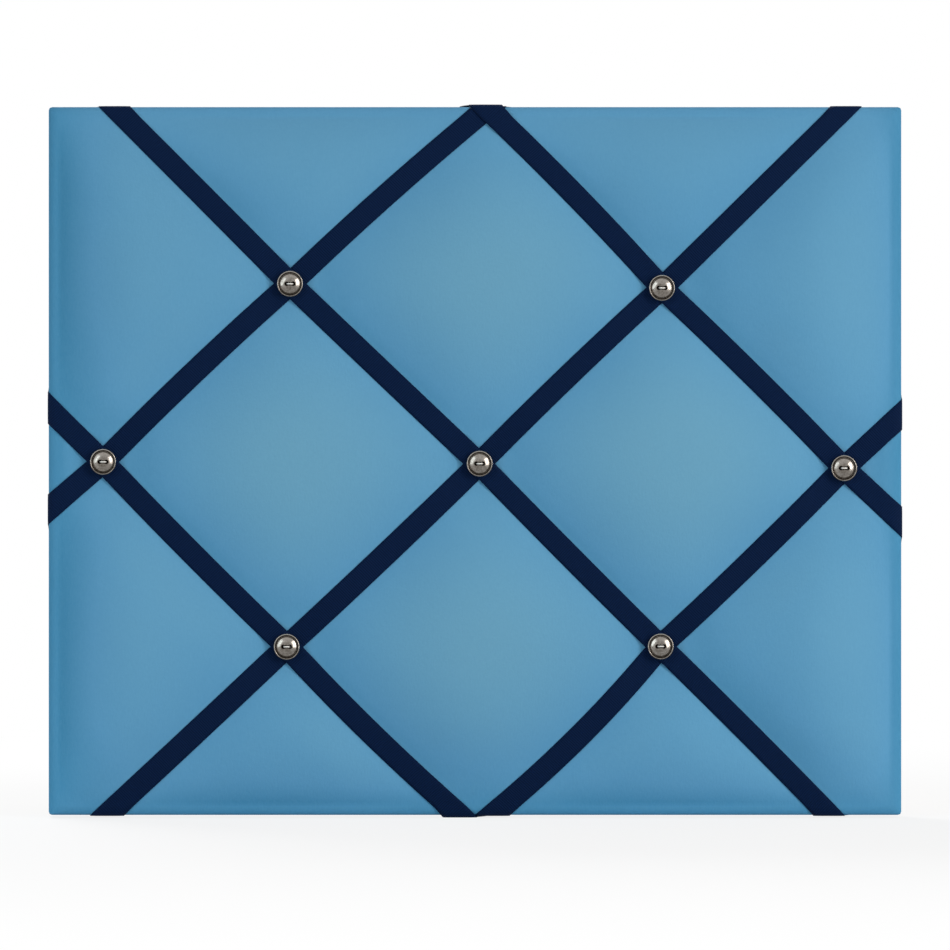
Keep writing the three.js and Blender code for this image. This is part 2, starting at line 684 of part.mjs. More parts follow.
// Pan-head screw: the head's underside is at y = 0 and the point lies towards -Y
function screwSolid() {
  const [shank, head] = [SCREW_DIAMETER / 2, SCREW_HEAD_DIAMETER / 2];
  const chamfer = SCREW_HEAD_HEIGHT / 2;
  const profile = [
    [0, -SCREW_LENGTH], [shank, SCREW_POINT - SCREW_LENGTH], [shank, 0], [head, 0],
    [head, SCREW_HEAD_HEIGHT - chamfer], [head - chamfer, SCREW_HEAD_HEIGHT], [0, SCREW_HEAD_HEIGHT],
  ];
  const body = new THREE.LatheGeometry(profile.map(([r, y]) => new THREE.Vector2(r, y)), SCREW_SIDES);
  const slot = new THREE.BoxGeometry(SCREW_SLOT_LENGTH, 2 * SCREW_SLOT_DEPTH, SCREW_SLOT_WIDTH);
  slot.translate(0, SCREW_HEAD_HEIGHT, 0);
  const cross = joinAll([slot, slot.clone().rotateY(Math.PI / 2)]);
  return toGeometry(toSolid(body).subtract(cross));
}

// Assembly

const risingRibbons = RISING.map((spec, index) => laidRibbon(spec, index, false));
const fallingRibbons = FALLING.map((spec, index) => laidRibbon(spec, index, true));
const ribbons = [...risingRibbons, ...fallingRibbons];
const risingEnds = risingRibbons.flatMap((ribbon) => ribbon.ends);
const tailStaples = ribbons.flatMap(ribbonStaples);
const rimStaples = panelStaples();
const hangers = [["left", -HANGER_SPACING / 2], ["right", HANGER_SPACING / 2]];

const threadHoles = joinAll(SEATS.flatMap(({ x, z }) => {
  return stitchHoles(-2 * FACE_Y).map((hole) => hole.translate(x, 0, z));
}));
const legHoles = (place) => stapleLegHoles().map((leg) => onSide(leg, place));
const tailStapleHoles = joinAll(tailStaples.flatMap(legHoles));
const rimStapleHoles = joinAll(rimStaples.flatMap(legHoles));
const screwHoles = joinAll(hangers.map(([, x]) => screwHole().translate(x, 0, HINGE_Z - SCREW_DROP)));

const coreInset = 2 * (COVER_THICKNESS + LAYER_GAP);
const core = new THREE.BoxGeometry(BOARD_WIDTH - coreInset, CORE_THICKNESS, BOARD_HEIGHT - coreInset);
core.translate(0, (CORE_BACK + CORE_FRONT) / 2, 0);
const softHoles = threadHoles.add(tailStapleHoles).add(rimStapleHoles);
addPart("core_board", toGeometry(toSolid(core).subtract(softHoles.add(screwHoles))), "fibreboard");

addPart("batting_pad", toGeometry(toSolid(battingPad()).subtract(threadHoles)), "batting");

addPart("fabric_cover", toGeometry(toSolid(coverSheet()).subtract(softHoles)), "cloth");

const panelSize = [BOARD_WIDTH - 2 * PANEL_INSET, PANEL_THICKNESS, BOARD_HEIGHT - 2 * PANEL_INSET];
const panel = new THREE.BoxGeometry(...panelSize, PANEL_CELLS, 1, PANEL_CELLS);
panel.translate(0, -PANEL_THICKNESS / 2, 0);
addPart("back_panel", toGeometry(toSolid(panel).subtract(rimStapleHoles.add(screwHoles))), "card");

for (const ribbon of ribbons) {
  addPart(ribbon.name, toGeometry(toSolid(ribbonSheet(ribbon, risingEnds)).subtract(softHoles)), "ribbon");
}

for (const seat of SEATS) {
  const base = buttonBase(seat);
  addPart(`button_${seat.name}`, buttonSolid(), "pewter", [seat.x, base, seat.z]);
  addPart(`button_thread_${seat.name}`, threadLoop(base), "thread", [seat.x, 0, seat.z]);
}

for (const place of [...tailStaples, ...rimStaples]) {
  addPart(place.name, onSide(stapleSolid(), place), "steel");
}

for (const [name, x] of hangers) {
  addPart(`hanger_strap_${name}`, strapSolid(), "steel", [x, HINGE_Y, HINGE_Z]);
  addPart(`hanger_ring_${name}`, ringSolid(), "steel", [x, HINGE_Y, HINGE_Z]);
  addPart(`hanger_screw_${name}`, screwSolid(), "steel", [x, STRAP_REAR + LAYER_GAP, HINGE_Z - SCREW_DROP]);
}

export default board;
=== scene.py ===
"""French memo board: padded blue cloth, a lattice of navy ribbons, pewter buttons and steel hangers.

The board's lengths are in millimetres and scaled by MM; camera, studio and textures are in metres.
X runs right and Z up as seen from the front, and Y runs back, towards the wall.
"""
import math

import bmesh
import bpy
import numpy as np
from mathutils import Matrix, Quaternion, Vector


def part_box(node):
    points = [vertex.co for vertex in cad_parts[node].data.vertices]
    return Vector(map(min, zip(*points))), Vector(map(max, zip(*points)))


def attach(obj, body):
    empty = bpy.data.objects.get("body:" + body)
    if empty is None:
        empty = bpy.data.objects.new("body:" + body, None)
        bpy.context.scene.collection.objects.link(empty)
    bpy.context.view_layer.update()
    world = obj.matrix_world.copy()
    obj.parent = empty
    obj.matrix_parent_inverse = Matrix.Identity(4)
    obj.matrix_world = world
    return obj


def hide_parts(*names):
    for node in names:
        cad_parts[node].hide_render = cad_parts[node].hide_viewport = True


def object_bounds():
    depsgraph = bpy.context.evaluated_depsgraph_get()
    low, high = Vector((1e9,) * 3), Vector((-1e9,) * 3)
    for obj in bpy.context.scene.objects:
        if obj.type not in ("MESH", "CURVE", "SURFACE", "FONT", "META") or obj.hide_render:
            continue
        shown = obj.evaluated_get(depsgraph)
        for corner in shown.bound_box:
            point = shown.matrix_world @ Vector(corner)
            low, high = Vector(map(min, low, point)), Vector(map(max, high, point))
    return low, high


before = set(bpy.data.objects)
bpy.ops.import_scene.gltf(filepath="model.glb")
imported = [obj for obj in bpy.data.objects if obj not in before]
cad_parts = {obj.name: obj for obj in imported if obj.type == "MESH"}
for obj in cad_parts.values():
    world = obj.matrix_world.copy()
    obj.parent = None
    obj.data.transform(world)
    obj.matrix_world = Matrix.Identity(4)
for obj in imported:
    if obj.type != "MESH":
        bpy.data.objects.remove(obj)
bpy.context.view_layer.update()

SCENE = bpy.context.scene
SCENE.view_settings.view_transform = "Standard"

MM = 0.001

# Board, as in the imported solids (millimetres)
BOARD_WIDTH, BOARD_HEIGHT = 330, 274
LAYER_GAP = 0.2
COVER_THICKNESS = 0.5
COVER_MARGIN = 16
ROLL_WIDTH, ROLL_DEPTH = 4, 2.2
EDGE_REACH = 34
RIBBON_RISE = 2.3
PILLOW_CROWN, PILLOW_REACH = 8, 45
BUTTON_PULL, PULL_REACH, PULL_EASE = 2.5, 13, 0.3
BUTTON_SEAT = 5.95
RIBBON_WIDTH, RIBBON_THICKNESS = 8.7, 0.4
SIDE_BUTTON_INSET, CROSSING_OVERHANG, LATTICE_DROP = 21, 2.6, 1.8
WRAP_LEAN, LAP_RAMP = 0.5, 6
TAIL_REACH, TAIL_CLEARANCE = 22, 2
RIBBON_GAP, RIBBON_SHEET = 0.05, 0.36
PANEL_INSET = 8

# Levels from the wall forward (millimetres)
WRAP_Y = -2.4
CORE_FRONT = -11.1
BATTING_BACK = CORE_FRONT - LAYER_GAP
SIDE_Y = -12.6
FACE_Y = SIDE_Y - ROLL_DEPTH
FACE_HALF_WIDTH = BOARD_WIDTH / 2 - ROLL_WIDTH
FACE_HALF_HEIGHT = BOARD_HEIGHT / 2 - ROLL_WIDTH
LAP_LIFT = RIBBON_THICKNESS + LAYER_GAP

# Ribbons as pinned by hand: sideways drift at stations -2 to 2, and the bow between stations
FIRST_STATION = -2
FALLING = [
    ("falling_ribbon_left", [4.9, 1.2, -0.7, -0.5, -0.6], [-1, -0.5, -1.4, 0]),
    ("falling_ribbon_middle", [2.5, 0.7, 1.8, -0.2, -2], [0.1, -0.1, -0.3, 0.4]),
    ("falling_ribbon_right", [2.2, 2.3, -0.6, -1.6, -1], [0, 0.9, 0.6, 0.4]),
]
RISING = [
    ("rising_ribbon_left", [-4, -0.9, 0, 4.4, 8], [-0.9, -0.8, -0.9, 0]),
    ("rising_ribbon_middle", [-2.2, -0.4, 0.7, 1, 0.1], [0.2, 0.4, -0.7, 0]),
    ("rising_ribbon_right", [0.4, 0.7, -0.1, -0.2, 2.1], [0, 2.7, 0.6, -0.1]),
]
BUTTONS = {
    "top_left": (-1, 0), "top_right": (0, 1), "left": (-1, -1), "centre": (0, 0),
    "right": (1, 1), "bottom_left": (0, -1), "bottom_right": (1, 0),
}
LINES = (-1, 0, 1)
LATTICE_CORRECTIONS = 8

PITCH_X = (BOARD_WIDTH / 2 - SIDE_BUTTON_INSET) / 2
PITCH_Z = (BOARD_HEIGHT / 2 + CROSSING_OVERHANG) / 2
LINE_SPACING = 2 * PITCH_X * PITCH_Z / math.hypot(PITCH_X, PITCH_Z)
HALF_RIBBON = RIBBON_WIDTH / 2 / LINE_SPACING

# Lattice and padded face, with numpy arrays of millimetres


def lerp(a, b, t):
    return a + (b - a) * t


def ribbon_drift(ribbon, station):
    """Sideways drift of one ribbon, in millimetres, at stations along it."""
    _, drift, bow = ribbon
    drift, bow = np.array(drift), np.array(bow)
    span = np.clip(np.floor(station).astype(int) - FIRST_STATION, 0, len(bow) - 1)
    along = station - FIRST_STATION - span
    return lerp(drift[span], drift[span + 1], along) + bow[span] * (1 - (2 * along - 1) ** 2)


def drift_between(family, line, station):
    """Drift of the lattice between the three ribbons of a family, as a share of their spacing."""
    held = np.clip(line, -1, 1)
    left, middle, right = (ribbon_drift(ribbon, station) for ribbon in family)
    low = lerp(left, middle, held + 1)
    high = lerp(middle, right, held)
    return np.where(held < 0, low, high) / LINE_SPACING


def lattice_place(u, v):
    """Face point where line u of the rising ribbons crosses line v of the falling ones."""
    u, v = np.broadcast_arrays(np.asarray(u, float), np.asarray(v, float))
    rising = u + drift_between(RISING, u, v)
    falling = v + drift_between(FALLING, v, u)
    return PITCH_X * (rising + falling), PITCH_Z * (falling - rising) - LATTICE_DROP


def lattice_at(x, z):
    """Lattice coordinates of face points, by repeated correction."""
    across, up = x / PITCH_X, (z + LATTICE_DROP) / PITCH_Z
    rising, falling = (across - up) / 2, (across + up) / 2
    u, v = rising, falling
    for _ in range(LATTICE_CORRECTIONS):
        u, v = rising - drift_between(RISING, u, v), falling - drift_between(FALLING, v, u)
    return u, v


def smooth_step(value, low, high):
    share = np.clip((value - low) / (high - low), 0, 1)
    return share * share * (3 - 2 * share)


def ease_out(distance, reach):
    return 1 - (1 - np.clip(distance / reach, 0, 1)) ** 2


def held_back(x, z):
    """Share of the padding's rise that the board's edges leave: 0 at an edge, 1 well inside."""
    from_side = ease_out(FACE_HALF_WIDTH - np.abs(x), EDGE_REACH)
    return from_side * ease_out(FACE_HALF_HEIGHT - np.abs(z), EDGE_REACH)


def clearances(u, v):
    """Distances from the edges of all six ribbons."""
    return [np.abs(place - line) * LINE_SPACING - RIBBON_WIDTH / 2 for line in LINES for place in (u, v)]


def fullness(u, v):
    """Share of the pillow's crown: 0 at the ribbons, 1 in the middle between them."""
    return math.prod(ease_out(clear, PILLOW_REACH) for clear in clearances(u, v))


def pillow_y(x, z, u, v):
    return FACE_Y - held_back(x, z) * (RIBBON_RISE + PILLOW_CROWN * fullness(u, v))


def button_seats():
    """Place of each button on the face, with the level to which it pulls the cloth."""
    seats = []
    for u, v in BUTTONS.values():
        x, z = lattice_place(u, v)
        seats.append((float(x), float(z), float(pillow_y(x, z, u, v)) + BUTTON_PULL))
    return seats


SEATS = button_seats()


def face_y(x, z, u, v):
    """Level of the padded face, with the dimples that the buttons pull."""
    y = pillow_y(x, z, u, v)
    for seat_x, seat_z, floor in SEATS:
        away = np.maximum(0, np.hypot(x - seat_x, z - seat_z) - BUTTON_SEAT)
        ease = np.minimum(1, held_back(x, z) / PULL_EASE)
        y = lerp(y, floor, ease * np.exp(-((away / PULL_REACH) ** 2)))
    return y


# Meshes


def make_piece(name, points, faces, body="board"):
    """A smoothly shaded mesh piece from points in millimetres."""
    mesh = bpy.data.meshes.new(name)
    mesh.from_pydata([tuple(p) for p in np.asarray(points) * MM], [], faces)
    mesh.validate()
    mesh.polygons.foreach_set("use_smooth", [True] * len(mesh.polygons))
    obj = bpy.data.objects.new(name, mesh)
    SCENE.collection.objects.link(obj)
    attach(obj, body)
    return obj


def applied(obj):
    """Bake an object's modifiers into its mesh."""
    depsgraph = bpy.context.evaluated_depsgraph_get()
    mesh = bpy.data.meshes.new_from_object(obj.evaluated_get(depsgraph))
    obj.modifiers.clear()
    obj.data = mesh


def face_out(piece):
    """Turn all faces of a closed mesh outwards."""
    shape = bmesh.new()
    shape.from_mesh(piece.data)
    bmesh.ops.recalc_face_normals(shape, faces=shape.faces)
    shape.to_mesh(piece.data)
    shape.free()


# Camera: straight on, with a long lens
FRAME_PIXELS = 950
PIXELS_PER_BOARD = 852.5
CAMERA_DISTANCE = 3.0
BOARD_RAISED_PIXELS = 14.0
SENSOR_WIDTH = 36.0
FRAME_WIDTH = BOARD_WIDTH * MM * FRAME_PIXELS / PIXELS_PER_BOARD
PIXEL = FRAME_WIDTH / FRAME_PIXELS


def add_camera():
    data = bpy.data.cameras.new("camera")
    data.sensor_width = SENSOR_WIDTH
    data.lens = SENSOR_WIDTH * CAMERA_DISTANCE / FRAME_WIDTH
    camera = bpy.data.objects.new("camera", data)
    SCENE.collection.objects.link(camera)
    camera.location = (0, SIDE_Y * MM - CAMERA_DISTANCE, -BOARD_RAISED_PIXELS * PIXEL)
    camera.rotation_euler = (math.pi / 2, 0, 0)
    SCENE.camera = camera


add_camera()

# Materials: painted light and shade on the cloth, and pitches of the ribbon's weave in millimetres

# painted shade on the cloth: its tone at the edges, and how far it reaches in from the left, right and
# lower edges
EDGE_SHADE_TONE, LEFT_SHADE_REACH, RIGHT_SHADE_REACH, FOOT_SHADE_REACH = 0.35, 36, 18, 15
# painted light: factors on the cloth's colour at the foot and the head, paler at the foot and darker at
# the head
PAINTED_LIGHT_FOOT, PAINTED_LIGHT_HEAD = 1.055, 0.945
RIB_PITCH, WARP_PITCH, WARP_SHARE = 0.8, 0.35, 0.12


def add_node(tree, kind, inputs=None, **settings):
    """A shader node whose inputs are linked to sockets or set to values."""
    node = tree.nodes.new("ShaderNode" + kind)
    for key, value in settings.items():
        setattr(node, key, value)
    for key, value in (inputs or {}).items():
        if isinstance(value, bpy.types.NodeSocket):
            tree.links.new(value, node.inputs[key])
        else:
            node.inputs[key].default_value = value
    return node


class Paint:
    """A node material built up in a few words."""

    def __init__(self, name, **sockets):
        self.material = bpy.data.materials.new(name)
        self.material.use_nodes = True
        self.tree = self.material.node_tree
        self.shader = self.tree.nodes["Principled BSDF"]
        for socket, value in sockets.items():
            self.shader.inputs[socket.replace("_", " ")].default_value = value

    def node(self, kind, inputs=None, **settings):
        return add_node(self.tree, kind, inputs, **settings)

    def link(self, socket, name):
        self.tree.links.new(socket, self.shader.inputs[name])

    def place(self, output="Object"):
        return self.node("TexCoord").outputs[output]

    def noise(self, scale, detail=3, roughness=0.5, place=None):
        place = place or self.place()
        inputs = {"Vector": place, "Scale": scale, "Detail": detail, "Roughness": roughness}
        return self.node("TexNoise", inputs).outputs["Fac"]

    def stretched(self, scale):
        return self.node("Mapping", {"Vector": self.place(), "Scale": scale}).outputs["Vector"]

    def ramp(self, value, *stops):
        node = self.node("ValToRGB", {"Fac": value})
        elements = node.color_ramp.elements
        while len(elements) < len(stops):
            elements.new(0.5)
        for element, (at, colour) in zip(elements, stops):
            element.position = at
            element.color = (*colour, 1)
        return node.outputs["Color"]

    def math(self, operation, a, b=0.0):
        return self.node("Math", {0: a, 1: b}, operation=operation).outputs["Value"]

    def mix(self, factor, a, b, blend="MIX"):
        first, second = ((*colour, 1) if isinstance(colour, tuple) else colour for colour in (a, b))
        inputs = {0: factor, 6: first, 7: second}
        return self.node("Mix", inputs, data_type="RGBA", blend_type=blend).outputs[2]

    def span(self, value, low, high, start=0.0, stop=1.0):
        inputs = {"Value": value, "From Min": start, "From Max": stop, "To Min": low, "To Max": high}
        return self.node("MapRange", inputs).outputs["Result"]

    def bump(self, height, distance, strength, under=None):
        inputs = {"Height": height, "Distance": distance, "Strength": strength}
        if under is not None:
            inputs["Normal"] = under
        return self.node("Bump", inputs).outputs["Normal"]


def srgb(red, green, blue):
    def linear(value):
        share = value / 255
        return share / 12.92 if share <= 0.04045 else ((share + 0.055) / 1.055) ** 2.4
    return tuple(linear(value) for value in (red, green, blue))


def cloth_paint():
    """Brushed microfibre: short fibres, a soft sheen, slow random changes of tone, and painted light and
    shade.
    """
    paint = Paint(
        "blue_microfibre", Roughness=0.88, Specular_IOR_Level=0.15, Sheen_Weight=0.08, Sheen_Roughness=0.5,
    )
    # painted light and shade: the tone attribute is low where shade is painted, by the ribbons and edges,
    # and high on the pillows
    painted_shading = paint.node("Attribute", attribute_name="painted_shading").outputs["Fac"]
    tone = paint.math("ADD", painted_shading, paint.span(paint.noise(14, detail=2), -0.1, 0.1))
    nap = paint.noise(900, detail=4, roughness=0.65)
    fibres = paint.noise(1.0, detail=3, roughness=0.6, place=paint.stretched((1500, 1500, 420)))
    base = paint.ramp(
        tone,
        (0.0, srgb(56, 132, 173)), (EDGE_SHADE_TONE, srgb(87, 150, 190)), (1.0, srgb(106, 161, 188)),
    )
    worn = paint.mix(paint.span(nap, 0.0, 0.3), base, srgb(76, 137, 176))
    brushed = paint.mix(paint.span(fibres, 0.0, 0.25), worn, srgb(112, 172, 203))
    # painted light: the cloth is paler towards the foot and darker towards the head
    up = paint.node("SeparateXYZ", {"Vector": paint.place()}).outputs["Z"]
    painted_light = paint.span(up, PAINTED_LIGHT_FOOT, PAINTED_LIGHT_HEAD, -BOARD_HEIGHT / 2 * MM, BOARD_HEIGHT / 2 * MM)
    paint.link(paint.mix(1.0, brushed, painted_light, blend="MULTIPLY"), "Base Color")
    soft = paint.bump(nap, 0.00012, 0.5)
    paint.link(paint.bump(fibres, 0.00008, 0.5, under=soft), "Normal")
    return paint.material


def ribbon_paint():
    """Fine grosgrain: ribs across the ribbon, warp threads along it and a firm woven edge."""
    paint = Paint(
        "navy_grosgrain", Roughness=0.72, Specular_IOR_Level=0.06, Sheen_Weight=0.01, Sheen_Roughness=0.4,
    )
    place = paint.place("UV")
    split = paint.node("SeparateXYZ", {"Vector": place})
    along, across = split.outputs["X"], split.outputs["Y"]
    turn = paint.math("MULTIPLY", along, 2 * math.pi / RIB_PITCH)
    rib = paint.span(paint.math("SINE", turn), 0.0, 1.0, start=-1.0)
    warp = paint.math("SINE", paint.math("MULTIPLY", across, 2 * math.pi / WARP_PITCH))
    fuzz = paint.noise(6, detail=3, roughness=0.6, place=place)
    height = paint.math("ADD", paint.math("MULTIPLY", warp, WARP_SHARE), rib)
    base = paint.ramp(rib, (0.0, srgb(2, 18, 43)), (1.0, srgb(7, 32, 68)))
    paint.link(paint.mix(paint.span(fuzz, 0.0, 0.5), base, srgb(3, 23, 56)), "Base Color")
    paint.link(paint.bump(height, 0.00012, 0.7, under=paint.bump(fuzz, 0.00006, 0.4)), "Normal")
    return paint.material


def pewter_paint():
    """Antique pewter: bright on the high places, dark and dull in the recesses, with painted shade on the
    dome's shoulder and towards the bottom.
    """
    paint = Paint("antique_pewter", Metallic=1.0)
    # the attribute carries patina in the recesses and painted shade
    patina_shade = paint.node("Attribute", attribute_name="recess").outputs["Fac"]
    stain = paint.noise(1300, detail=4, roughness=0.6)
    scratch = paint.noise(1.0, detail=2, place=paint.stretched((600, 600, 4200)))
    dark = paint.math("ADD", patina_shade, paint.math("MULTIPLY", paint.math("SUBTRACT", stain, 0.5), 0.7))
    metal = paint.ramp(
        dark,
        (0.0, srgb(146, 141, 135)), (0.35, srgb(94, 88, 81)),
        (0.65, srgb(54, 47, 40)), (1.0, srgb(20, 15, 11)),
    )
    paint.link(metal, "Base Color")
    paint.link(paint.span(paint.math("ADD", dark, scratch), 0.13, 0.3), "Roughness")
    paint.link(paint.bump(stain, 0.00003, 0.5, under=paint.bump(scratch, 0.00002, 0.3)), "Normal")
    return paint.material


def steel_paint(name, bright, dull, roughness):
    """Plated steel with fine drawing lines and a little dulling."""
    paint = Paint(name, Metallic=1.0)
    cloud = paint.noise(260, detail=4, roughness=0.6)
    lines = paint.noise(1.0, detail=2, place=paint.stretched((2600, 300, 300)))
    paint.link(paint.ramp(cloud, (0.35, dull), (0.7, bright)), "Base Color")
    paint.link(paint.span(cloud, roughness + 0.12, roughness - 0.05), "Roughness")
    paint.link(paint.bump(lines, 0.00003, 0.4), "Normal")
    return paint.material


def card_paint():
    """Kraft-faced card: pressed fibres, flecks and slight waviness."""
    paint = Paint("kraft_card", Roughness=0.86)
    fibres = paint.noise(1.0, detail=5, roughness=0.7, place=paint.stretched((260, 1200, 900)))
    cloud = paint.noise(26, detail=3)
    flecks = paint.noise(1400, detail=1)
    base = paint.ramp(fibres, (0.3, srgb(158, 130, 94)), (0.7, srgb(190, 163, 125)))
    toned = paint.mix(paint.span(cloud, 0.0, 0.35), base, srgb(170, 140, 101))
    specks = paint.ramp(flecks, (0.66, (0, 0, 0)), (0.74, (1, 1, 1)))
    paint.link(paint.mix(paint.math("MULTIPLY", specks, 0.4), toned, srgb(104, 80, 54)), "Base Color")
    paint.link(paint.bump(fibres, 0.00012, 0.5, under=paint.bump(cloud, 0.0008, 0.4)), "Normal")
    return paint.material


def fibreboard_paint():
    """Raw fibreboard with short pressed fibres."""
    paint = Paint("raw_fibreboard", Roughness=0.9)
    fibres = paint.noise(1.0, detail=5, roughness=0.7, place=paint.stretched((700, 2400, 700)))
    paint.link(paint.ramp(fibres, (0.3, srgb(142, 112, 76)), (0.7, srgb(186, 156, 116))), "Base Color")
    paint.link(paint.bump(fibres, 0.0002, 0.6), "Normal")
    return paint.material


def batting_paint():
    """Loose white fibre."""
    paint = Paint("white_fibre", Roughness=0.95, Sheen_Weight=0.4)
    tufts = paint.noise(120, detail=6, roughness=0.7)
    strands = paint.node("TexWave", {
        "Vector": paint.place(), "Scale": 160, "Distortion": 14, "Detail": 4, "Detail Scale": 2.5,
    }).outputs["Fac"]
    paint.link(paint.ramp(tufts, (0.3, srgb(222, 216, 204)), (0.7, srgb(247, 244, 236))), "Base Color")
    paint.link(paint.bump(strands, 0.0005, 0.5, under=paint.bump(tufts, 0.001, 0.5)), "Normal")
    return paint.material


def thread_paint():
    """Pale waxed button thread; its twist is in the mesh."""
    paint = Paint("button_thread", Roughness=0.6, Sheen_Weight=0.2)
    fuzz = paint.noise(5200, detail=3)
    paint.link(paint.ramp(fuzz, (0.3, srgb(222, 219, 211)), (0.7, srgb(250, 248, 242))), "Base Color")
    paint.link(paint.bump(fuzz, 0.00004, 0.5), "Normal")
    return paint.material


PAINT = {
    "cloth": cloth_paint(),
    "ribbon": ribbon_paint(),
    "pewter": pewter_paint(),
    "card": card_paint(),
    "fibreboard": fibreboard_paint(),
    "batting": batting_paint(),
    "thread": thread_paint(),
    "staple_steel": steel_paint("galvanised_wire", srgb(206, 208, 210), srgb(160, 163, 167), 0.36),
    "hanger_steel": steel_paint("nickel_plate", srgb(222, 219, 212), srgb(186, 183, 177), 0.24),
}


def finish_piece(obj, slot, node):
    """Give a piece its material and hide the solid that it stands for."""
    obj.data.materials.clear()
    obj.data.materials.append(PAINT[slot])
    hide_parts(node)


# Cloth cover: simulated on a coarse grid, then carried by a fine one

SIM_STEP = 3.0
SIM_FRAMES = 20
SIM_PRESSURE = 40.0
SIM_STIFFNESS, SIM_BENDING, SIM_SLACK = 10, 1.0, 0.012
SIM_QUALITY, SIM_MASS, SIM_PIN_STIFFNESS = 6, 0.15, 5
SIM_CROWN_SHARE = 0.8
SIM_MOST, SIM_FREE_GAIN, SIM_SOFTENING = 3.0, 1.5, 6
EDGE_HOLD, RIBBON_HOLD, BUTTON_HOLD = 8, 4, 6
FACE_STEP = 1.25
ROLL_STEPS = 10
SIDE_STEPS = 3
HEM_STEPS = 12
BACK_LEVEL = WRAP_Y - 0.1
CORNER_RADIUS = 1.2
# painted shade: how much darker the half diamonds round the outside are painted, and over what reach
OUTER_SHADE, OUTER_SHADE_REACH = 0.6, 0.2
FOLD_LIFT, FOLD_REACH, FOLD_START, FOLD_RAMP = 0.5, 9, 0.2, 2
HEM_PUFF, HEM_START, HEM_REACH = 1.3, 1, 6
HEM_CORNER_LOSS, HEM_CORNER_REACH = 0.4, 14
# painted light and shade on slopes leaning to the upper right or away, the step over which the lean is
# found, and the back's flat tone
SLOPE_LIGHT_TONE, SLOPE_LIGHT_STEP, BACK_TONE = 0.3, 1.0, 0.45


def face_axes(step):
    across = np.linspace(-FACE_HALF_WIDTH, FACE_HALF_WIDTH, round(2 * FACE_HALF_WIDTH / step) + 1)
    up = np.linspace(-FACE_HALF_HEIGHT, FACE_HALF_HEIGHT, round(2 * FACE_HALF_HEIGHT / step) + 1)
    return across, up


def grid_faces(columns, rows):
    """Quads of a grid of points listed row by row, facing the front."""
    return [
        (r * columns + c, r * columns + c + 1, (r + 1) * columns + c + 1, (r + 1) * columns + c)
        for r in range(rows - 1) for c in range(columns - 1)
    ]


def band_faces(inner, outer):
    """Quads between two closed rings of as many points."""
    count = len(inner)
    return [(inner[i], outer[i], outer[(i + 1) % count], inner[(i + 1) % count]) for i in range(count)]


def loose_share(x, z, u, v):
    """0 where ribbons, buttons or the board's edge hold the cloth down, 1 where it is free."""
    inside = np.minimum(FACE_HALF_WIDTH - np.abs(x), FACE_HALF_HEIGHT - np.abs(z))
    free = [inside / EDGE_HOLD] + [clear / RIBBON_HOLD for clear in clearances(u, v)]
    for seat_x, seat_z, _ in SEATS:
        free.append((np.hypot(x - seat_x, z - seat_z) - BUTTON_SEAT) / BUTTON_HOLD)
    return np.clip(np.minimum.reduce(free), 0, 1)


def softened(grid, passes):
    """A grid whose border is zero, evened out by its neighbours."""
    for _ in range(passes):
        for axis in (0, 1):
            grid = (np.roll(grid, 1, axis) + 2 * grid + np.roll(grid, -1, axis)) / 4
    return grid


def simulated_rise():
    """How far the batting's pressure lifts the cloth off the form of the solids, on the coarse grid."""
    across, up = face_axes(SIM_STEP)
    x, z = (a.ravel() for a in np.meshgrid(across, up))
    u, v = lattice_at(x, z)
    target = face_y(x, z, u, v)
    free = loose_share(x, z, u, v)
    start = target + (1 - SIM_CROWN_SHARE) * free * (FACE_Y - RIBBON_RISE - target)
    points = np.stack([x, start, z], axis=1)
    cloth = make_piece("cloth_trial", points, grid_faces(len(across), len(up)))
    pins = cloth.vertex_groups.new(name="held")
    for index, share in enumerate(free):
        if share < 1:
            pins.add([index], 1 - share, "REPLACE")
    settings = cloth.modifiers.new("cloth", "CLOTH").settings
    settings.quality = SIM_QUALITY
    settings.mass = SIM_MASS
    settings.tension_stiffness = settings.compression_stiffness = SIM_STIFFNESS
    settings.shear_stiffness = SIM_STIFFNESS / 2
    settings.bending_stiffness = SIM_BENDING
    settings.shrink_min = -SIM_SLACK
    settings.vertex_group_mass = "held"
    settings.pin_stiffness = SIM_PIN_STIFFNESS
    settings.use_pressure = True
    settings.uniform_pressure_force = SIM_PRESSURE
    settings.effector_weights.gravity = 0
    for frame_number in range(1, SIM_FRAMES + 1):
        SCENE.frame_set(frame_number)
    depsgraph = bpy.context.evaluated_depsgraph_get()
    moved = np.empty(len(points) * 3)
    cloth.evaluated_get(depsgraph).data.vertices.foreach_get("co", moved)
    SCENE.frame_set(1)
    mesh = cloth.data
    bpy.data.objects.remove(cloth)
    bpy.data.meshes.remove(mesh)
    rise = target - moved.reshape(-1, 3)[:, 1] / MM
    free = np.minimum(1, free * SIM_FREE_GAIN).reshape(len(up), len(across))
    rise = SIM_MOST * np.tanh(rise / SIM_MOST).reshape(free.shape)
    return across, up, free * softened(free * rise, SIM_SOFTENING)


RISE_ACROSS, RISE_UP, RISE = simulated_rise()


def cloth_rise(x, z):
    """Simulated rise at any face points, by bilinear interpolation."""
    column = np.interp(x, RISE_ACROSS, np.arange(len(RISE_ACROSS)))
    row = np.interp(z, RISE_UP, np.arange(len(RISE_UP)))
    c = np.minimum(column.astype(int), len(RISE_ACROSS) - 2)
    r = np.minimum(row.astype(int), len(RISE_UP) - 2)
    s, t = column - c, row - r
    low = lerp(RISE[r, c], RISE[r, c + 1], s)
    high = lerp(RISE[r + 1, c], RISE[r + 1, c + 1], s)
    return lerp(low, high, t)


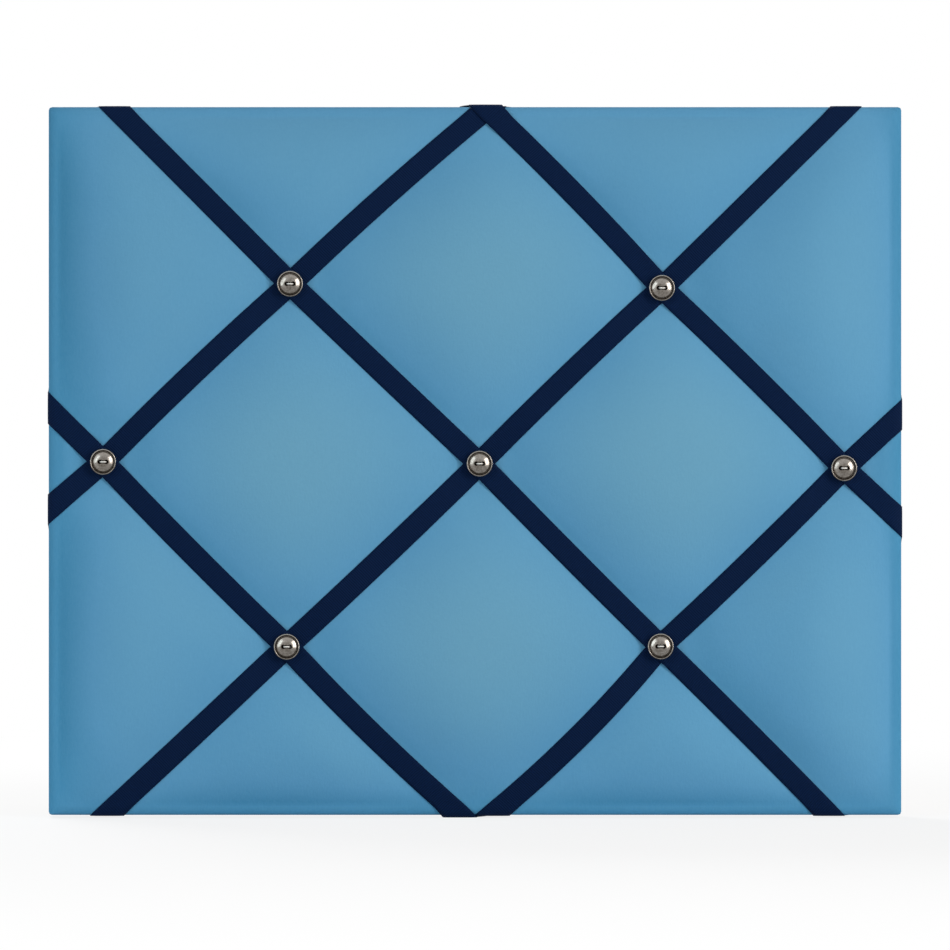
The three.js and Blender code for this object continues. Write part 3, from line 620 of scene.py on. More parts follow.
def edge_section(depth, back_reach, back_steps):
    """Inset and y of the wrapped edge below the cover's outer face: roll, side and back."""
    turn = np.linspace(0, math.pi / 2, ROLL_STEPS + 1)[1:]
    roll = [
        (ROLL_WIDTH - (ROLL_WIDTH - depth) * math.sin(t), SIDE_Y - (ROLL_DEPTH - depth) * math.cos(t))
        for t in turn
    ]
    back_y = WRAP_Y - depth
    side = [(depth, lerp(SIDE_Y, back_y, (k + 1) / SIDE_STEPS)) for k in range(SIDE_STEPS)]
    back = [(lerp(depth, back_reach, (k + 1) / back_steps), back_y) for k in range(back_steps)]
    return roll + side + back


def wrapped_shell(depth, back_reach, back_steps, sections=None):
    """Points and quads of a shell over the face and round the edges, some depth below the cover."""
    across, up = face_axes(FACE_STEP)
    x, z = (a.ravel() for a in np.meshgrid(across, up))
    u, v = lattice_at(x, z)
    y = face_y(x, z, u, v) - cloth_rise(x, z) + depth
    points = [np.stack([x, y, z], axis=1)]
    columns, rows = len(across), len(up)
    faces = grid_faces(columns, rows)
    at = np.arange(columns * rows).reshape(rows, columns)
    border = np.concatenate([at[0], at[1:, -1], at[-1, -2::-1], at[-2:0:-1, 0]]).tolist()
    edge_x, edge_z = x[border], z[border]
    previous = border
    count = columns * rows
    for inset, level in edge_section(depth, back_reach, back_steps)[:sections]:
        half_x, half_z = BOARD_WIDTH / 2 - inset, BOARD_HEIGHT / 2 - inset
        ring_x, ring_z = edge_x * half_x / FACE_HALF_WIDTH, edge_z * half_z / FACE_HALF_HEIGHT
        past_x = np.abs(ring_x) - (half_x - CORNER_RADIUS)
        past_z = np.abs(ring_z) - (half_z - CORNER_RADIUS)
        corner = (past_x > 0) & (past_z > 0)
        reach = np.where(corner, np.hypot(past_x, past_z), 1)
        keep_x = np.sign(ring_x) * (half_x - CORNER_RADIUS + past_x * CORNER_RADIUS / reach)
        keep_z = np.sign(ring_z) * (half_z - CORNER_RADIUS + past_z * CORNER_RADIUS / reach)
        ring_x, ring_z = np.where(corner, keep_x, ring_x), np.where(corner, keep_z, ring_z)
        points.append(np.stack([ring_x, np.full(len(border), level), ring_z], axis=1))
        ring = list(range(count, count + len(border)))
        count += len(border)
        faces += band_faces(previous, ring)
        previous = ring
    return np.concatenate(points), faces, previous


def edge_distances(x, z):
    return BOARD_WIDTH / 2 - np.abs(x), BOARD_HEIGHT / 2 - np.abs(z)


def corner_fold(x, y, z):
    """Lift of the flap that is folded over at each back corner of the cloth."""
    from_side, from_end = edge_distances(x, z)
    past = np.maximum(0, from_side - from_end)
    flap = np.where(past > FOLD_START, np.exp(-((past / FOLD_REACH) ** 2)), 0)
    turned_in = (y > BACK_LEVEL) & (from_end < COVER_MARGIN + 1)
    return FOLD_LIFT * flap * np.clip(from_end / FOLD_RAMP, 0, 1) * turned_in


def cover_level(x, z):
    return face_y(x, z, *lattice_at(x, z)) - cloth_rise(x, z)


def slope_light_tone(x, z):
    """Painted light and shade: the cloth is paler where the padded face leans to the upper right, darker
    where it leans away.
    """
    across = cover_level(x + SLOPE_LIGHT_STEP, z) - cover_level(x - SLOPE_LIGHT_STEP, z)
    up = cover_level(x, z + SLOPE_LIGHT_STEP) - cover_level(x, z - SLOPE_LIGHT_STEP)
    return SLOPE_LIGHT_TONE * (across + up) / (2 * SLOPE_LIGHT_STEP)


def add_cover():
    points, faces, _ = wrapped_shell(0, COVER_MARGIN, HEM_STEPS)
    points[:, 1] += np.minimum(HEM_PUFF, corner_fold(*points.T) + hem_puff(*points.T))
    cover = make_piece("cover_cloth", points, faces)
    x, y, z = points.T
    u, v = lattice_at(x, z)
    # painted shade: darker by the ribbons, at the edges (reaching farther in on the left than on the
    # right), at the foot and in the outer half diamonds; the back of the cloth takes one flat tone
    outside = np.clip(np.maximum(np.abs(u), np.abs(v)) - 1 - HALF_RIBBON, 0, 1)
    painted_shading = fullness(u, v) * held_back(x, z) * (1 - OUTER_SHADE * np.minimum(1, outside / OUTER_SHADE_REACH))
    side = ease_out(BOARD_WIDTH / 2 - np.abs(x), np.where(x < 0, LEFT_SHADE_REACH, RIGHT_SHADE_REACH))
    foot = ease_out(BOARD_HEIGHT / 2 + z, FOOT_SHADE_REACH)
    # painted light on slopes that lean to the upper right
    painted_shading = EDGE_SHADE_TONE * np.minimum(side, foot) + (1 - EDGE_SHADE_TONE) * painted_shading + slope_light_tone(x, z)
    painted_shading = lerp(painted_shading, BACK_TONE, smooth_step(y, SIDE_Y, WRAP_Y))
    cover.data.attributes.new("painted_shading", "FLOAT", "POINT").data.foreach_set("value", painted_shading)
    solid = cover.modifiers.new("thickness", "SOLIDIFY")
    solid.thickness = COVER_THICKNESS * MM
    solid.offset = -1
    applied(cover)
    finish_piece(cover, "cloth", "fabric_cover")


def add_batting():
    depth = COVER_THICKNESS + LAYER_GAP
    points, faces, rim = wrapped_shell(depth, depth, 1, sections=ROLL_STEPS)
    floor = points[rim].copy()
    floor[:, 1] = BATTING_BACK
    ring = list(range(len(points), len(points) + len(rim)))
    faces += band_faces(rim, ring)
    faces.append(tuple(ring))
    pad = make_piece("fibre_batting", np.concatenate([points, floor]), faces)
    finish_piece(pad, "batting", "batting_pad")


# Ribbons

SIDES = {
    "top": ((0, 1), (1, 0)),
    "right": ((1, 0), (0, -1)),
    "bottom": ((0, -1), (-1, 0)),
    "left": ((-1, 0), (0, 1)),
}
RIBBON_STEP = 1.2
RIBBON_STRANDS = 6
TAIL_STEPS = 10
CROSSING_RAMP = 0.09
FAR_STATION, EXIT_HALVINGS = 3.0, 40
TAIL_SETTLE = 3
SELVEDGE_LOSS, SELVEDGE_POWER = 0.12, 6
EDGE_STEPS = edge_section(0, TAIL_REACH, TAIL_STEPS)


def side_half(direction):
    return (abs(direction[0]) * BOARD_WIDTH + abs(direction[1]) * BOARD_HEIGHT) / 2


class Ribbon:
    """A ribbon: its line in the lattice, and whether it falls or rises to the right."""

    def __init__(self, spec, line, falls):
        self.name, self.line, self.falls = spec[0], line, falls
        self.ends = [ribbon_end(self, sign) for sign in (-1, 1)]

    def place(self, station, offset):
        """Face point and lattice place of a station along the ribbon and a share across it."""
        own = self.line + offset * HALF_RIBBON
        u, v = (station, own) if self.falls else (own, station)
        x, z = lattice_place(u, v)
        return float(x), float(z), u, v

    def exit(self, offset, sign):
        """Station where one strand of the ribbon leaves the face."""
        low, high = 0.0, sign * FAR_STATION
        for _ in range(EXIT_HALVINGS):
            middle = (low + high) / 2
            x, z, _, _ = self.place(middle, offset)
            inside = abs(x) < FACE_HALF_WIDTH and abs(z) < FACE_HALF_HEIGHT
            low, high = (middle, high) if inside else (low, middle)
        return low


def lift_over(station):
    """Share of the lap lift that a falling ribbon has where it passes over a rising one."""
    clear = min(abs(station - line) for line in LINES) - HALF_RIBBON
    return float(smooth_step(CROSSING_RAMP - clear, 0, CROSSING_RAMP))


def ribbon_end(ribbon, sign):
    """The side that a ribbon leaves by, with its strands' stations, places, slope and track there."""
    hits = {offset: ribbon.exit(offset, sign) for offset in (-1, 0, 1)}
    x, z, _, _ = ribbon.place(hits[0], 0)
    room = {
        name: side_half(out) - ROLL_WIDTH - x * out[0] - z * out[1] for name, (out, _) in SIDES.items()
    }
    name = min(room, key=room.get)
    out, along = SIDES[name]
    reach = {offset: np.dot(ribbon.place(hit, offset)[:2], along) for offset, hit in hits.items()}
    onward = ribbon.place(hits[0] + sign * HALF_RIBBON, 0)
    step_x, step_z = onward[0] - x, onward[1] - z
    slope = (step_x * along[0] + step_z * along[1]) / (step_x * out[0] + step_z * out[1])
    end = {"name": name, "hits": hits, "reach": reach, "slope": slope}
    return {**end, "track": end_track(end)}


def end_track(end):
    """Centre and half width along the side at each step of the edge section."""
    start = (end["reach"][-1] + end["reach"][1]) / 2
    wide = (end["reach"][1] - end["reach"][-1]) / 2
    narrow = RIBBON_WIDTH / 2 * math.hypot(1, WRAP_LEAN)
    edge = start + end["slope"] * ROLL_WIDTH
    reach = WRAP_Y - SIDE_Y + TAIL_REACH
    room = side_half(SIDES[end["name"]][1]) - PANEL_INSET - TAIL_CLEARANCE - narrow
    target = edge + math.copysign(WRAP_LEAN * reach, end["slope"])
    lean = (max(-room, min(room, target)) - edge) / reach
    narrow = math.copysign(narrow, wide)
    track = []
    for k, (inset, level) in enumerate(EDGE_STEPS):
        if k < ROLL_STEPS:
            track.append((start + end["slope"] * (ROLL_WIDTH - inset), wide))
        else:
            down = level - SIDE_Y + inset
            settle = min(1, down / TAIL_SETTLE)
            track.append((edge + lean * down, lerp(wide, narrow, settle)))
    return track


RIBBONS = [Ribbon(spec, line, False) for spec, line in zip(RISING, LINES)]
RIBBONS += [Ribbon(spec, line, True) for spec, line in zip(FALLING, LINES)]
RISING_ENDS = [end for ribbon in RIBBONS if not ribbon.falls for end in ribbon.ends]


def hem_puff(x, y, z):
    """How far the turned-in cloth swells towards the panel, between the ribbon tails that hold it."""
    first = ROLL_STEPS + SIDE_STEPS
    insets = [inset for inset, _ in EDGE_STEPS[first:]]
    from_side, from_end = edge_distances(x, z)
    inset = np.minimum(from_side, from_end)
    clear = np.full(len(x), np.inf)
    for end in (end for ribbon in RIBBONS for end in ribbon.ends):
        out, along = SIDES[end["name"]]
        depth = side_half(out) - x * out[0] - z * out[1]
        centre = np.interp(depth, insets, [centre for centre, _ in end["track"][first:]])
        half = np.interp(depth, insets, [abs(half) for _, half in end["track"][first:]])
        away = np.abs(x * along[0] + z * along[1] - centre) - half
        clear = np.where(depth < TAIL_REACH, np.minimum(clear, away), clear)
    free = smooth_step(clear, 0, HEM_REACH) * smooth_step(inset, HEM_START, HEM_START + HEM_REACH)
    corner = np.exp(-(((from_side - from_end) / HEM_CORNER_REACH) ** 2))
    return HEM_PUFF * free * (1 - HEM_CORNER_LOSS * corner) * (y > BACK_LEVEL)


add_cover()
add_batting()


def lap_lift(end, step):
    """Share of the lap lift where a falling ribbon lies over a rising one on the board's edge."""
    lifts = [0.0]
    for other in RISING_ENDS:
        if other["name"] == end["name"]:
            own, under = end["track"][step], other["track"][step]
            clear = abs(own[0] - under[0]) - abs(own[1]) - abs(under[1])
            lifts.append(min(1, max(0, 1 - clear / LAP_RAMP)))
    return max(lifts)


def end_strip(ribbon, end, offset):
    """Inner and outer points of one strand round the edge, from the face to its tail."""
    out, along = SIDES[end["name"]]
    strip = []
    for step in range(len(EDGE_STEPS)):
        lift = RIBBON_GAP + (lap_lift(end, step) * LAP_LIFT if ribbon.falls else 0)
        centre, half = end["track"][step]
        pair = []
        for depth in (-lift, -lift - RIBBON_SHEET):
            inset, level = edge_section(depth, TAIL_REACH, TAIL_STEPS)[step]
            reach, shift = side_half(out) - inset, centre + offset * half
            x, z = (out[k] * reach + along[k] * shift for k in (0, 1))
            pair.append(Vector((x, level, z)))
        strip.append(pair)
    return strip


def face_strip(ribbon, offset, start, stop, count):
    """Inner and outer points of one strand over the face, and the distances along it."""
    strip, stations = [], np.linspace(start, stop, count)
    for station in stations:
        x, z, u, v = ribbon.place(station, offset)
        lift = RIBBON_GAP + (LAP_LIFT * lift_over(station) if ribbon.falls else 0)
        inner = float(face_y(x, z, u, v)) - lift
        strip.append([Vector((x, inner, z)), Vector((x, inner - RIBBON_SHEET, z))])
    return strip, stations * LINE_SPACING


def exit_station(end, offset):
    hits = end["hits"]
    return lerp(hits[0], hits[1 if offset > 0 else -1], abs(offset))


def ribbon_strand(ribbon, offset, count):
    """Inner and outer points of one strand of a ribbon from tail to tail, and the distance along it."""
    first, last = ribbon.ends
    start, stop = exit_station(first, offset), exit_station(last, offset)
    face, along = face_strip(ribbon, offset, start, stop, count)
    head = end_strip(ribbon, first, offset)[::-1]
    strand = head + face + end_strip(ribbon, last, offset)
    steps = [(b[0] - a[0]).length for a, b in zip(strand, strand[1:])]
    before = along[0] - np.cumsum(steps[:len(head)][::-1])[::-1]
    after = along[-1] + np.cumsum(steps[len(head) + len(face) - 1:])
    return strand, [*before, *along, *after]


def add_ribbon(ribbon):
    offsets = np.linspace(-1, 1, RIBBON_STRANDS + 1)
    span = abs(ribbon.ends[1]["hits"][0] - ribbon.ends[0]["hits"][0]) * LINE_SPACING
    count = round(span / RIBBON_STEP)
    strands = [ribbon_strand(ribbon, float(offset), count) for offset in offsets]
    length = len(strands[0][0])
    points, uvs = [], []
    for layer in (1, 0):
        for offset, (strand, distance) in zip(offsets, strands):
            thin = SELVEDGE_LOSS * abs(offset) ** SELVEDGE_POWER
            for pair, along in zip(strand, distance):
                points.append(pair[layer].lerp(pair[1 - layer], thin))
                uvs.append((along, offset * RIBBON_WIDTH / 2))
    columns = len(offsets)
    rows = np.arange(len(points)).reshape(2, columns, length)
    rings = [rows[0, :, r].tolist() + rows[1, ::-1, r].tolist() for r in range(length)]
    faces = [quad for before, after in zip(rings, rings[1:]) for quad in band_faces(before, after)]
    for ring in (rings[0], rings[-1]):
        faces += [(ring[c], ring[c + 1], ring[-2 - c], ring[-1 - c]) for c in range(columns - 1)]
    piece = make_piece(ribbon.name + "_grosgrain", points, faces)
    weave = piece.data.uv_layers.new(name="weave")
    for loop in piece.data.loops:
        weave.data[loop.index].uv = uvs[loop.vertex_index]
    face_out(piece)
    finish_piece(piece, "ribbon", ribbon.name)


for each in RIBBONS:
    add_ribbon(each)

# Buttons, threads, screws and rings

BUTTON_RADIUS = 5.05
BUTTON_HEIGHT = 2.3
DOME_START, DOME_RADIUS, DOME_RINGS = 0.1, 4.02, 40
FLANK_SLOPE, FLANK_START, FLANK_FULL = 0.54, 0.4, 3.6
BROW_SLOPE, BROW_START = 0.4, 3.6
GROOVE_RADIUS = 4.22
GROOVE_SECTION = [(4.12, 1.13), (GROOVE_RADIUS, 1.1), (4.33, 1.17)]
RIM_INNER, RIM_FOOT, RIM_HEIGHT, RIM_RINGS = 4.44, 1.45, 1.9, 11
BASE_SECTION = [(BUTTON_RADIUS, 1.0), (BUTTON_RADIUS - 0.1, 0.5), (BUTTON_RADIUS - 0.5, 0.0)]
FISH_EYE_HALF_LENGTH, FISH_EYE_HALF_WIDTH, FISH_EYE_DEPTH = 2.05, 0.65, 0.65
STITCH_SPACING, STITCH_HOLE_RADIUS, STITCH_HOLE_EDGE, STITCH_FLOOR = 2.6, 0.74, 0.15, 0.2
# the groove, eye and base stains are patina; the shoulder's is painted shade, standing for the dome's
# darker reflection at its edge
GROOVE_STAIN, EYE_STAIN, SHOULDER_SHADE, BASE_STAIN = 0.14, 0.6, 0.3, 0.6
# painted shade: the buttons are darker towards the bottom; also an even darkening and a darker middle of
# the dome
EVEN_DARKENING, SHADE_LEAN, MIDDLE_DARKENING, MIDDLE_DARK_START, MIDDLE_DARK_END = 0.11, 0.13, 0.12, 1.2, 2.8
SPOKES = 72
THREAD_RADIUS, THREAD_BEND, THREAD_BEND_POINTS, THREAD_STEP = 0.34, 0.75, 9, 0.14
THREAD_FRONT_HALF, THREAD_BACK_HALF, THREAD_PROUD = 0.95, 1.6, 0.1
THREAD_PLIES, PLY_DEPTH, THREAD_TWIST, THREAD_SIDES = 3, 0.14, 17.6, 12
KNOT_Y, KNOT_SIZE, KNOT_POINTS, KNOT_SIDES, KNOT_THREAD = -2.45, 0.12, 60, 8, 0.6


def turned_piece(name, rings, centre, forward, relief):
    """A turned piece: rings of (radius, level) closed at both ends, with their levels cut by a relief.

    Levels run from the base towards forward, which is -1 for the front of the board and 1 for its back.
    """
    turn = np.arange(SPOKES) * 2 * math.pi / SPOKES
    points = [(0.0, relief(np.zeros(1), np.zeros(1), rings[0][1])[0], 0.0)]
    for radius, level in rings:
        x, z = radius * np.cos(turn), radius * np.sin(turn)
        points += list(zip(x, relief(x, z, level), z))
    points.append((0.0, rings[-1][1], 0.0))
    faces = [(0, 1 + i, 1 + (i + 1) % SPOKES) for i in range(SPOKES)]
    starts = [1 + r * SPOKES for r in range(len(rings))]
    for a, b in zip(starts, starts[1:]):
        faces += band_faces(range(a, a + SPOKES), range(b, b + SPOKES))
    last, tip = starts[-1], len(points) - 1
    faces += [(tip, last + (i + 1) % SPOKES, last + i) for i in range(SPOKES)]
    placed = [(centre[0] + x, centre[1] + forward * y, centre[2] + z) for x, y, z in points]
    piece = make_piece(name, placed, faces)
    face_out(piece)
    return piece, np.array(points)


def button_rings():
    """Radius and level from the middle of the dome over the groove and the rolled rim to the base."""
    radii = np.linspace(DOME_START, DOME_RADIUS, DOME_RINGS)
    slope = FLANK_SLOPE * smooth_step(radii, FLANK_START, FLANK_FULL)
    slope += BROW_SLOPE * smooth_step(radii, BROW_START, DOME_RADIUS)
    fall = np.cumsum(slope) * (radii[1] - radii[0])
    rings = list(zip(radii, BUTTON_HEIGHT - fall)) + GROOVE_SECTION
    middle, half = (RIM_INNER + BUTTON_RADIUS) / 2, (BUTTON_RADIUS - RIM_INNER) / 2
    for turn in np.linspace(math.pi, 0, RIM_RINGS):
        rings.append((middle + half * math.cos(turn), lerp(RIM_FOOT, RIM_HEIGHT, math.sin(turn))))
    return rings + BASE_SECTION


def fish_eye(x, z):
    """Share of the recess's depth: 1 in its middle, 0 at its outline."""
    return np.sqrt(np.clip(1 - (x / FISH_EYE_HALF_LENGTH) ** 2 - (z / FISH_EYE_HALF_WIDTH) ** 2, 0, 1))


def stitch_hole(x, z, radius):
    """1 in the stitch holes, falling to 0 at a radius from their axes."""
    away = np.hypot(np.abs(x) - STITCH_SPACING / 2, z)
    return 1 - smooth_step(away, radius - STITCH_HOLE_EDGE, radius)


def button_relief(x, z, level):
    """Level of the button's front with the fish-eye recess and its two stitch holes."""
    level = np.full(len(x), level, float)
    level -= FISH_EYE_DEPTH * fish_eye(x, z) * (np.hypot(x, z) < DOME_RADIUS)
    return lerp(level, np.minimum(level, STITCH_FLOOR), stitch_hole(x, z, STITCH_HOLE_RADIUS))


def button_patina_and_shade(points):
    """How dark each point is: patina in the groove, fish-eye, holes and base, painted shade on the dome's
    shoulder and towards the bottom, and a darker middle.
    """
    x, y, z = points.T
    radius = np.hypot(x, z)
    groove = np.exp(-(((radius - GROOVE_RADIUS) / GROOVE_STAIN) ** 2))
    # painted shade on the dome's shoulder, standing for its darker reflection at the edge
    shoulder_shade = SHOULDER_SHADE * smooth_step(radius, BROW_START, DOME_RADIUS)
    hole = stitch_hole(x, z, STITCH_HOLE_RADIUS + STITCH_HOLE_EDGE)
    dome = np.maximum.reduce([EYE_STAIN * fish_eye(x, z), shoulder_shade, hole]) * (radius < DOME_RADIUS)
    base = BASE_STAIN * np.clip(1 - y, 0, 1)
    # painted shade, darker towards the bottom, plus an even darkening and a darker middle of the dome
    middle = 1 - smooth_step(radius, MIDDLE_DARK_START, MIDDLE_DARK_END)
    shade_lean_and_middle = EVEN_DARKENING - SHADE_LEAN * z / BUTTON_RADIUS + MIDDLE_DARKENING * middle
    return np.clip(np.maximum.reduce([groove, dome, base]) + shade_lean_and_middle, 0, 1)


def swept(path, sides, radius_at):
    """Points and quads of a tube along a closed path; radius_at(index, angle) gives its section."""
    count = len(path)
    points, faces = [], []
    normal = None
    for i in range(count):
        tangent = (path[(i + 1) % count] - path[i - 1]).normalized()
        normal = normal or tangent.orthogonal()
        normal = (normal - tangent * normal.dot(tangent)).normalized()
        side = tangent.cross(normal)
        for k in range(sides):
            angle = 2 * math.pi * k / sides
            reach = radius_at(i, angle)
            points.append(path[i] + normal * (reach * math.cos(angle)) + side * (reach * math.sin(angle)))
        a, b = i * sides, ((i + 1) % count) * sides
        faces += band_faces(range(b, b + sides), range(a, a + sides))
    return points, faces


def rounded_loop(corners, bend, step):
    """Evenly spaced points round a closed polygon with rounded corners."""
    dense = []
    for i, corner in enumerate(corners):
        before, after = corners[i - 1], corners[(i + 1) % len(corners)]
        enter = corner + (before - corner).normalized() * bend
        leave = corner + (after - corner).normalized() * bend
        for t in np.linspace(0, 1, THREAD_BEND_POINTS):
            dense.append(enter * (1 - t) ** 2 + corner * (2 * t * (1 - t)) + leave * t * t)
    gaps = [(dense[(i + 1) % len(dense)] - p).length for i, p in enumerate(dense)]
    ends = np.concatenate([[0], np.cumsum(gaps)])
    spots = np.linspace(0, ends[-1], round(ends[-1] / step), endpoint=False)
    closed = np.array([list(p) for p in dense] + [list(dense[0])])
    return [Vector(p) for p in zip(*(np.interp(spots, ends, closed[:, k]) for k in range(3)))]


def plied_radius(index, angle):
    """Section of a plied thread that turns as it goes."""
    turn = THREAD_PLIES * angle - THREAD_TWIST * THREAD_STEP * index
    return THREAD_RADIUS * (1 - PLY_DEPTH + PLY_DEPTH * math.cos(turn))


def add_thread(name, x, z, front):
    """A loop through a button and the core, with its knot behind the core."""
    leg = [(THREAD_FRONT_HALF, front), (THREAD_BACK_HALF, CORE_FRONT), (THREAD_BACK_HALF, KNOT_Y)]
    corners = [Vector((x + half, y, z)) for half, y in leg]
    corners += [Vector((x - half, y, z)) for half, y in leg[::-1]]
    path = rounded_loop(corners, THREAD_BEND, THREAD_STEP)
    points, faces = swept(path, THREAD_SIDES, plied_radius)
    knot = []
    for t in np.linspace(0, 2 * math.pi, KNOT_POINTS, endpoint=False):
        curl = (math.sin(t) + 2 * math.sin(2 * t), -math.sin(3 * t), math.cos(t) - 2 * math.cos(2 * t))
        knot.append(Vector((x, KNOT_Y, z)) + Vector(curl) * KNOT_SIZE)
    more, quads = swept(knot, KNOT_SIDES, lambda index, angle: THREAD_RADIUS * KNOT_THREAD)
    faces += [tuple(i + len(points) for i in quad) for quad in quads]
    piece = make_piece("twisted_thread_" + name, points + more, faces)
    face_out(piece)
    finish_piece(piece, "thread", "button_thread_" + name)


def back_centre(node):
    """Middle of a solid's box, at its back, in millimetres."""
    low, high = (np.array(corner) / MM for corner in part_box(node))
    return (low[0] + high[0]) / 2, high[1], (low[2] + high[2]) / 2


def add_button(name):
    x, base, z = back_centre("button_" + name)
    piece, points = turned_piece("pewter_button_" + name, button_rings(), (x, base, z), -1, button_relief)
    # patina and painted shade for the metal's colour
    patina_shades = piece.data.attributes.new("recess", "FLOAT", "POINT")
    patina_shades.data.foreach_set("value", button_patina_and_shade(points))
    finish_piece(piece, "pewter", "button_" + name)
    add_thread(name, x, z, base - BUTTON_HEIGHT + FISH_EYE_DEPTH - THREAD_RADIUS - THREAD_PROUD)


for each in BUTTONS:
    add_button(each)

HINGE_Y, HINGE_Z, HANGER_X = 2.3, 95, 90
RING_WIRE_RADIUS, RING_WIRE_SIDES = 1.0, 20
RING_HALF, RING_CORNER, RING_STRAIGHT = 7.5, 1.5, 3
BAR_POINTS, CORNER_POINTS, BOW_POINTS = 16, 9, 60
SCREW_HEAD_HEIGHT, SCREW_CROWN_FALL = 2.0, 0.5
SCREW_CROWN_START, SCREW_CROWN_RADIUS, SCREW_CROWN_RINGS = 0.1, 2.6, 26
SCREW_HEAD_SECTION = [(2.85, 1.3), (3.1, 0.95), (3.25, 0.45), (3.2, 0.1), (3.05, 0.0)]
SCREW_SHANK_RADIUS, SCREW_ROOT_RADIUS, SCREW_POINT_RADIUS = 1.5, 1.2, 0.15
SCREW_LENGTH, SCREW_POINT, SCREW_TIP = 9.5, 2.0, 0.1
SCREW_PITCH, SCREW_ROOT_DROP, SCREW_CREST_DROP = 1.0, 0.05, 0.5
SLOT_HALF_WIDTH, SLOT_HALF_LENGTH, SLOT_DEPTH = 0.45, 1.8, 1.0
SLOT_WALL, SLOT_END, SLOT_LOWEST = 0.2, 0.9, 1.2


def arc(centre, radius, start, stop, count):
    return [
        Vector((centre[0] + radius * math.cos(t), 0, centre[1] + radius * math.sin(t)))
        for t in np.linspace(start, stop, count)
    ]


def add_ring(name, x):
    quarter = math.pi / 2
    inner = RING_HALF - RING_CORNER
    outline = [Vector((s * inner, 0, 0)) for s in np.linspace(-1, 1, BAR_POINTS)[1:-1]]
    outline += arc((inner, RING_CORNER), RING_CORNER, -quarter, 0, CORNER_POINTS)
    outline += arc((0, RING_STRAIGHT), RING_HALF, 0, 2 * quarter, BOW_POINTS)
    outline += arc((-inner, RING_CORNER), RING_CORNER, 2 * quarter, 3 * quarter, CORNER_POINTS)
    path = [p + Vector((x, HINGE_Y, HINGE_Z)) for p in outline]
    points, faces = swept(path, RING_WIRE_SIDES, lambda index, angle: RING_WIRE_RADIUS)
    piece = make_piece("d_ring_" + name, points, faces, "ring_" + name)
    face_out(piece)
    finish_piece(piece, "hanger_steel", "hanger_ring_" + name)


def screw_relief(x, z, level):
    """Level of the screw head with its cross recess."""
    level = np.full(len(x), level, float)
    if level[0] < SLOT_LOWEST:
        return level
    arm = np.minimum(np.abs(x), np.abs(z))
    end = np.maximum(np.abs(x), np.abs(z))
    inside = 1 - smooth_step(arm, SLOT_HALF_WIDTH - SLOT_WALL, SLOT_HALF_WIDTH)
    inside *= 1 - smooth_step(end, SLOT_HALF_LENGTH - SLOT_END, SLOT_HALF_LENGTH)
    return level - SLOT_DEPTH * inside


def add_screw(name):
    x, top, z = back_centre("hanger_screw_" + name)
    radii = np.linspace(SCREW_CROWN_START, SCREW_CROWN_RADIUS, SCREW_CROWN_RINGS)
    rings = list(zip(radii, SCREW_HEAD_HEIGHT - SCREW_CROWN_FALL * (radii / SCREW_CROWN_RADIUS) ** 3))
    rings += SCREW_HEAD_SECTION
    for turn in range(int((SCREW_LENGTH - SCREW_POINT) / SCREW_PITCH)):
        level = -turn * SCREW_PITCH
        rings.append((SCREW_ROOT_RADIUS, level - SCREW_ROOT_DROP))
        rings.append((SCREW_SHANK_RADIUS, level - SCREW_CREST_DROP))
    rings.append((SCREW_ROOT_RADIUS, SCREW_POINT - SCREW_LENGTH))
    rings.append((SCREW_POINT_RADIUS, SCREW_TIP - SCREW_LENGTH))
    centre = (x, top - SCREW_HEAD_HEIGHT, z)
    piece, _ = turned_piece("pan_screw_" + name, rings, centre, 1, screw_relief)
    finish_piece(piece, "hanger_steel", "hanger_screw_" + name)


for each_name, each_x in (("left", -HANGER_X), ("right", HANGER_X)):
    add_ring(each_name, each_x)
    add_screw(each_name)

# Rigid solids that keep their own shape

KEPT = {
    "core_board": "fibreboard", "back_panel": "card",
    "hanger_strap": "hanger_steel", "staple": "staple_steel",
}
EDGE_ROUND = {"hanger_strap": 0.12, "panel_staple": 0.1, "back_panel": 0.2}
EDGE_ROUND_STEPS = 2


def dress_solids():
    """Materials and slightly rounded edges for the solids that stay."""
    for name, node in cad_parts.items():
        for kind, slot in KEPT.items():
            if kind in name:
                node.data.materials.clear()
                node.data.materials.append(PAINT[slot])
        for kind, width in EDGE_ROUND.items():
            if kind in name:
                bevel = node.modifiers.new("soft_edges", "BEVEL")
                bevel.width = width * MM
                bevel.segments = EDGE_ROUND_STEPS
                bevel.limit_method = "ANGLE"


dress_solids()

# Studio: pale floor, soft boxes and a white surround

FLOOR_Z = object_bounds()[0].z
FLOOR_SIZE = 24.0
FLOOR_COLOUR, FLOOR_GLOW = (0.86, 0.86, 0.86, 1), 0.8
FLOOR_NEAR, FLOOR_FAR = 0.25, 0.9
WORLD_LIGHT = 0.32
WARM, NEUTRAL, COOL = (1.0, 0.955, 0.925), (1.0, 1.0, 1.0), (0.82, 0.95, 1.0)
SOFT_BOXES = {
    "key_right": ((1.3, -1.12, 0.28), (0.5, 1.4), 21.0, 10, WARM),
    "side_left": ((-1.27, -1.08, 0.5), (0.36, 1.5), 6.8, -25, COOL),
    "top_front": ((0.1, -0.6, 1.9), (1.6, 0.6), 2.5, 0, NEUTRAL),
    "rear_fill": ((-0.7, 1.5, 1.0), (1.0, 1.0), 26.0, 0, NEUTRAL),
}


def seen_ray(tree):
    """1 for rays that show the background: camera, glossy and transmission rays."""
    path = add_node(tree, "LightPath").outputs
    seen = path["Is Camera Ray"]
    for kind in ("Is Glossy Ray", "Is Transmission Ray"):
        seen = add_node(tree, "Math", {0: seen, 1: path[kind]}, operation="MAXIMUM").outputs[0]
    return seen


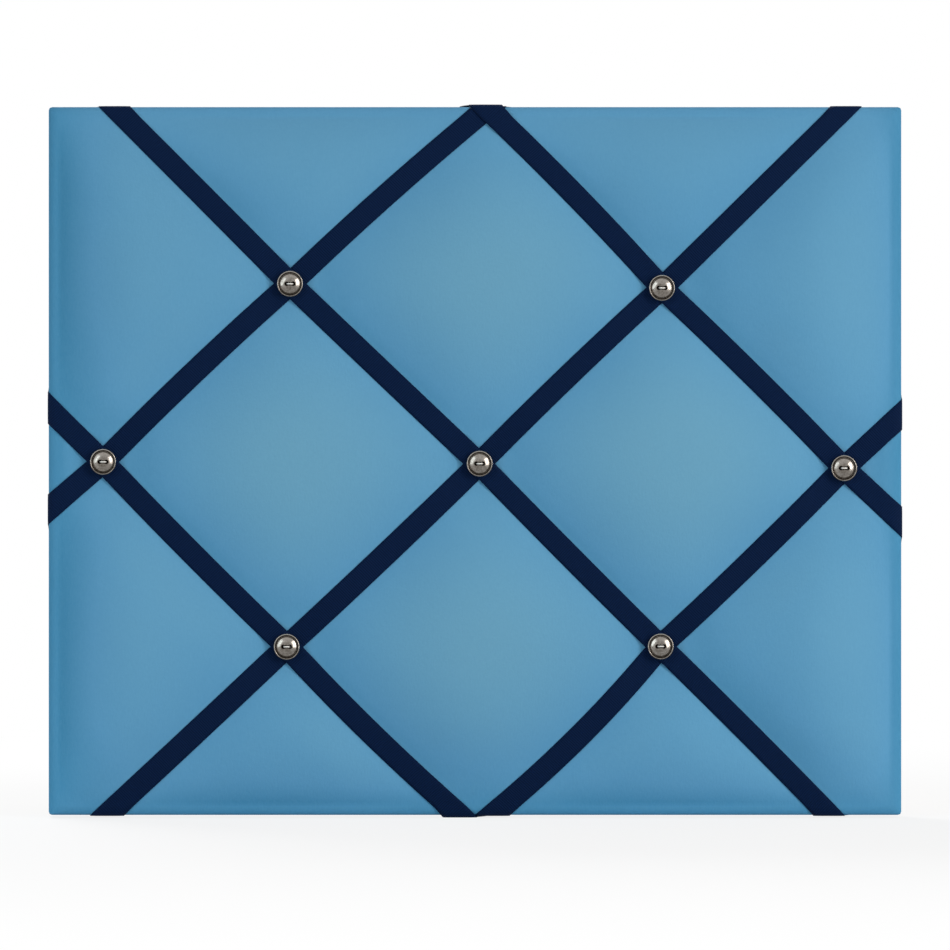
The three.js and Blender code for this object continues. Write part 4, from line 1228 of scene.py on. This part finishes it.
def mixed(tree, factor, first, second, output):
    """Link two shaders, mixed by a factor, to an output node."""
    mix = add_node(tree, "MixShader", {0: factor, 1: first.outputs[0], 2: second.outputs[0]})
    tree.links.new(mix.outputs[0], tree.nodes[output].inputs["Surface"])


def add_world():
    SCENE.world = bpy.data.worlds.new("studio")
    SCENE.world.use_nodes = True
    tree = SCENE.world.node_tree
    light, seen = (
        add_node(tree, "Background", {"Color": (1, 1, 1, 1), "Strength": strength})
        for strength in (WORLD_LIGHT, 1.0)
    )
    mixed(tree, seen_ray(tree), light, seen, "World Output")


def add_floor():
    """A pale floor whose far parts fade into the white surround."""
    half = FLOOR_SIZE / 2
    mesh = bpy.data.meshes.new("floor")
    corners = [(-half, -half, 0), (half, -half, 0), (half, half, 0), (-half, half, 0)]
    mesh.from_pydata(corners, [], [(0, 1, 2, 3)])
    floor = bpy.data.objects.new("floor", mesh)
    floor.location.z = FLOOR_Z
    SCENE.collection.objects.link(floor)
    paper = Paint("pale_floor", Base_Color=FLOOR_COLOUR, Roughness=0.9, Specular_IOR_Level=0.1)
    away = paper.node("VectorMath", {0: paper.place()}, operation="LENGTH").outputs["Value"]
    span = {"Value": away, "From Min": FLOOR_NEAR, "From Max": FLOOR_FAR, "To Min": FLOOR_GLOW}
    fade = paper.node("MapRange", span, interpolation_type="SMOOTHSTEP").outputs["Result"]
    share = paper.math("MULTIPLY", seen_ray(paper.tree), fade)
    mixed(paper.tree, share, paper.shader, paper.node("Emission", {"Strength": 1.0}), "Material Output")
    mesh.materials.append(paper.material)


def add_soft_boxes():
    """Lamps turned to the board, their long sides upright but for a lean in degrees."""
    for name, (place, (width, height), power, lean, tint) in SOFT_BOXES.items():
        data = bpy.data.lights.new(name, "AREA")
        data.shape = "RECTANGLE"
        data.size, data.size_y, data.energy, data.color = width, height, power, tint
        box = bpy.data.objects.new(name, data)
        box.location = place
        aim = (-Vector(place)).to_track_quat("-Z", "Y")
        box.rotation_euler = (aim @ Quaternion((0, 0, 1), math.radians(lean))).to_euler()
        SCENE.collection.objects.link(box)


add_world()
add_floor()
add_soft_boxes()
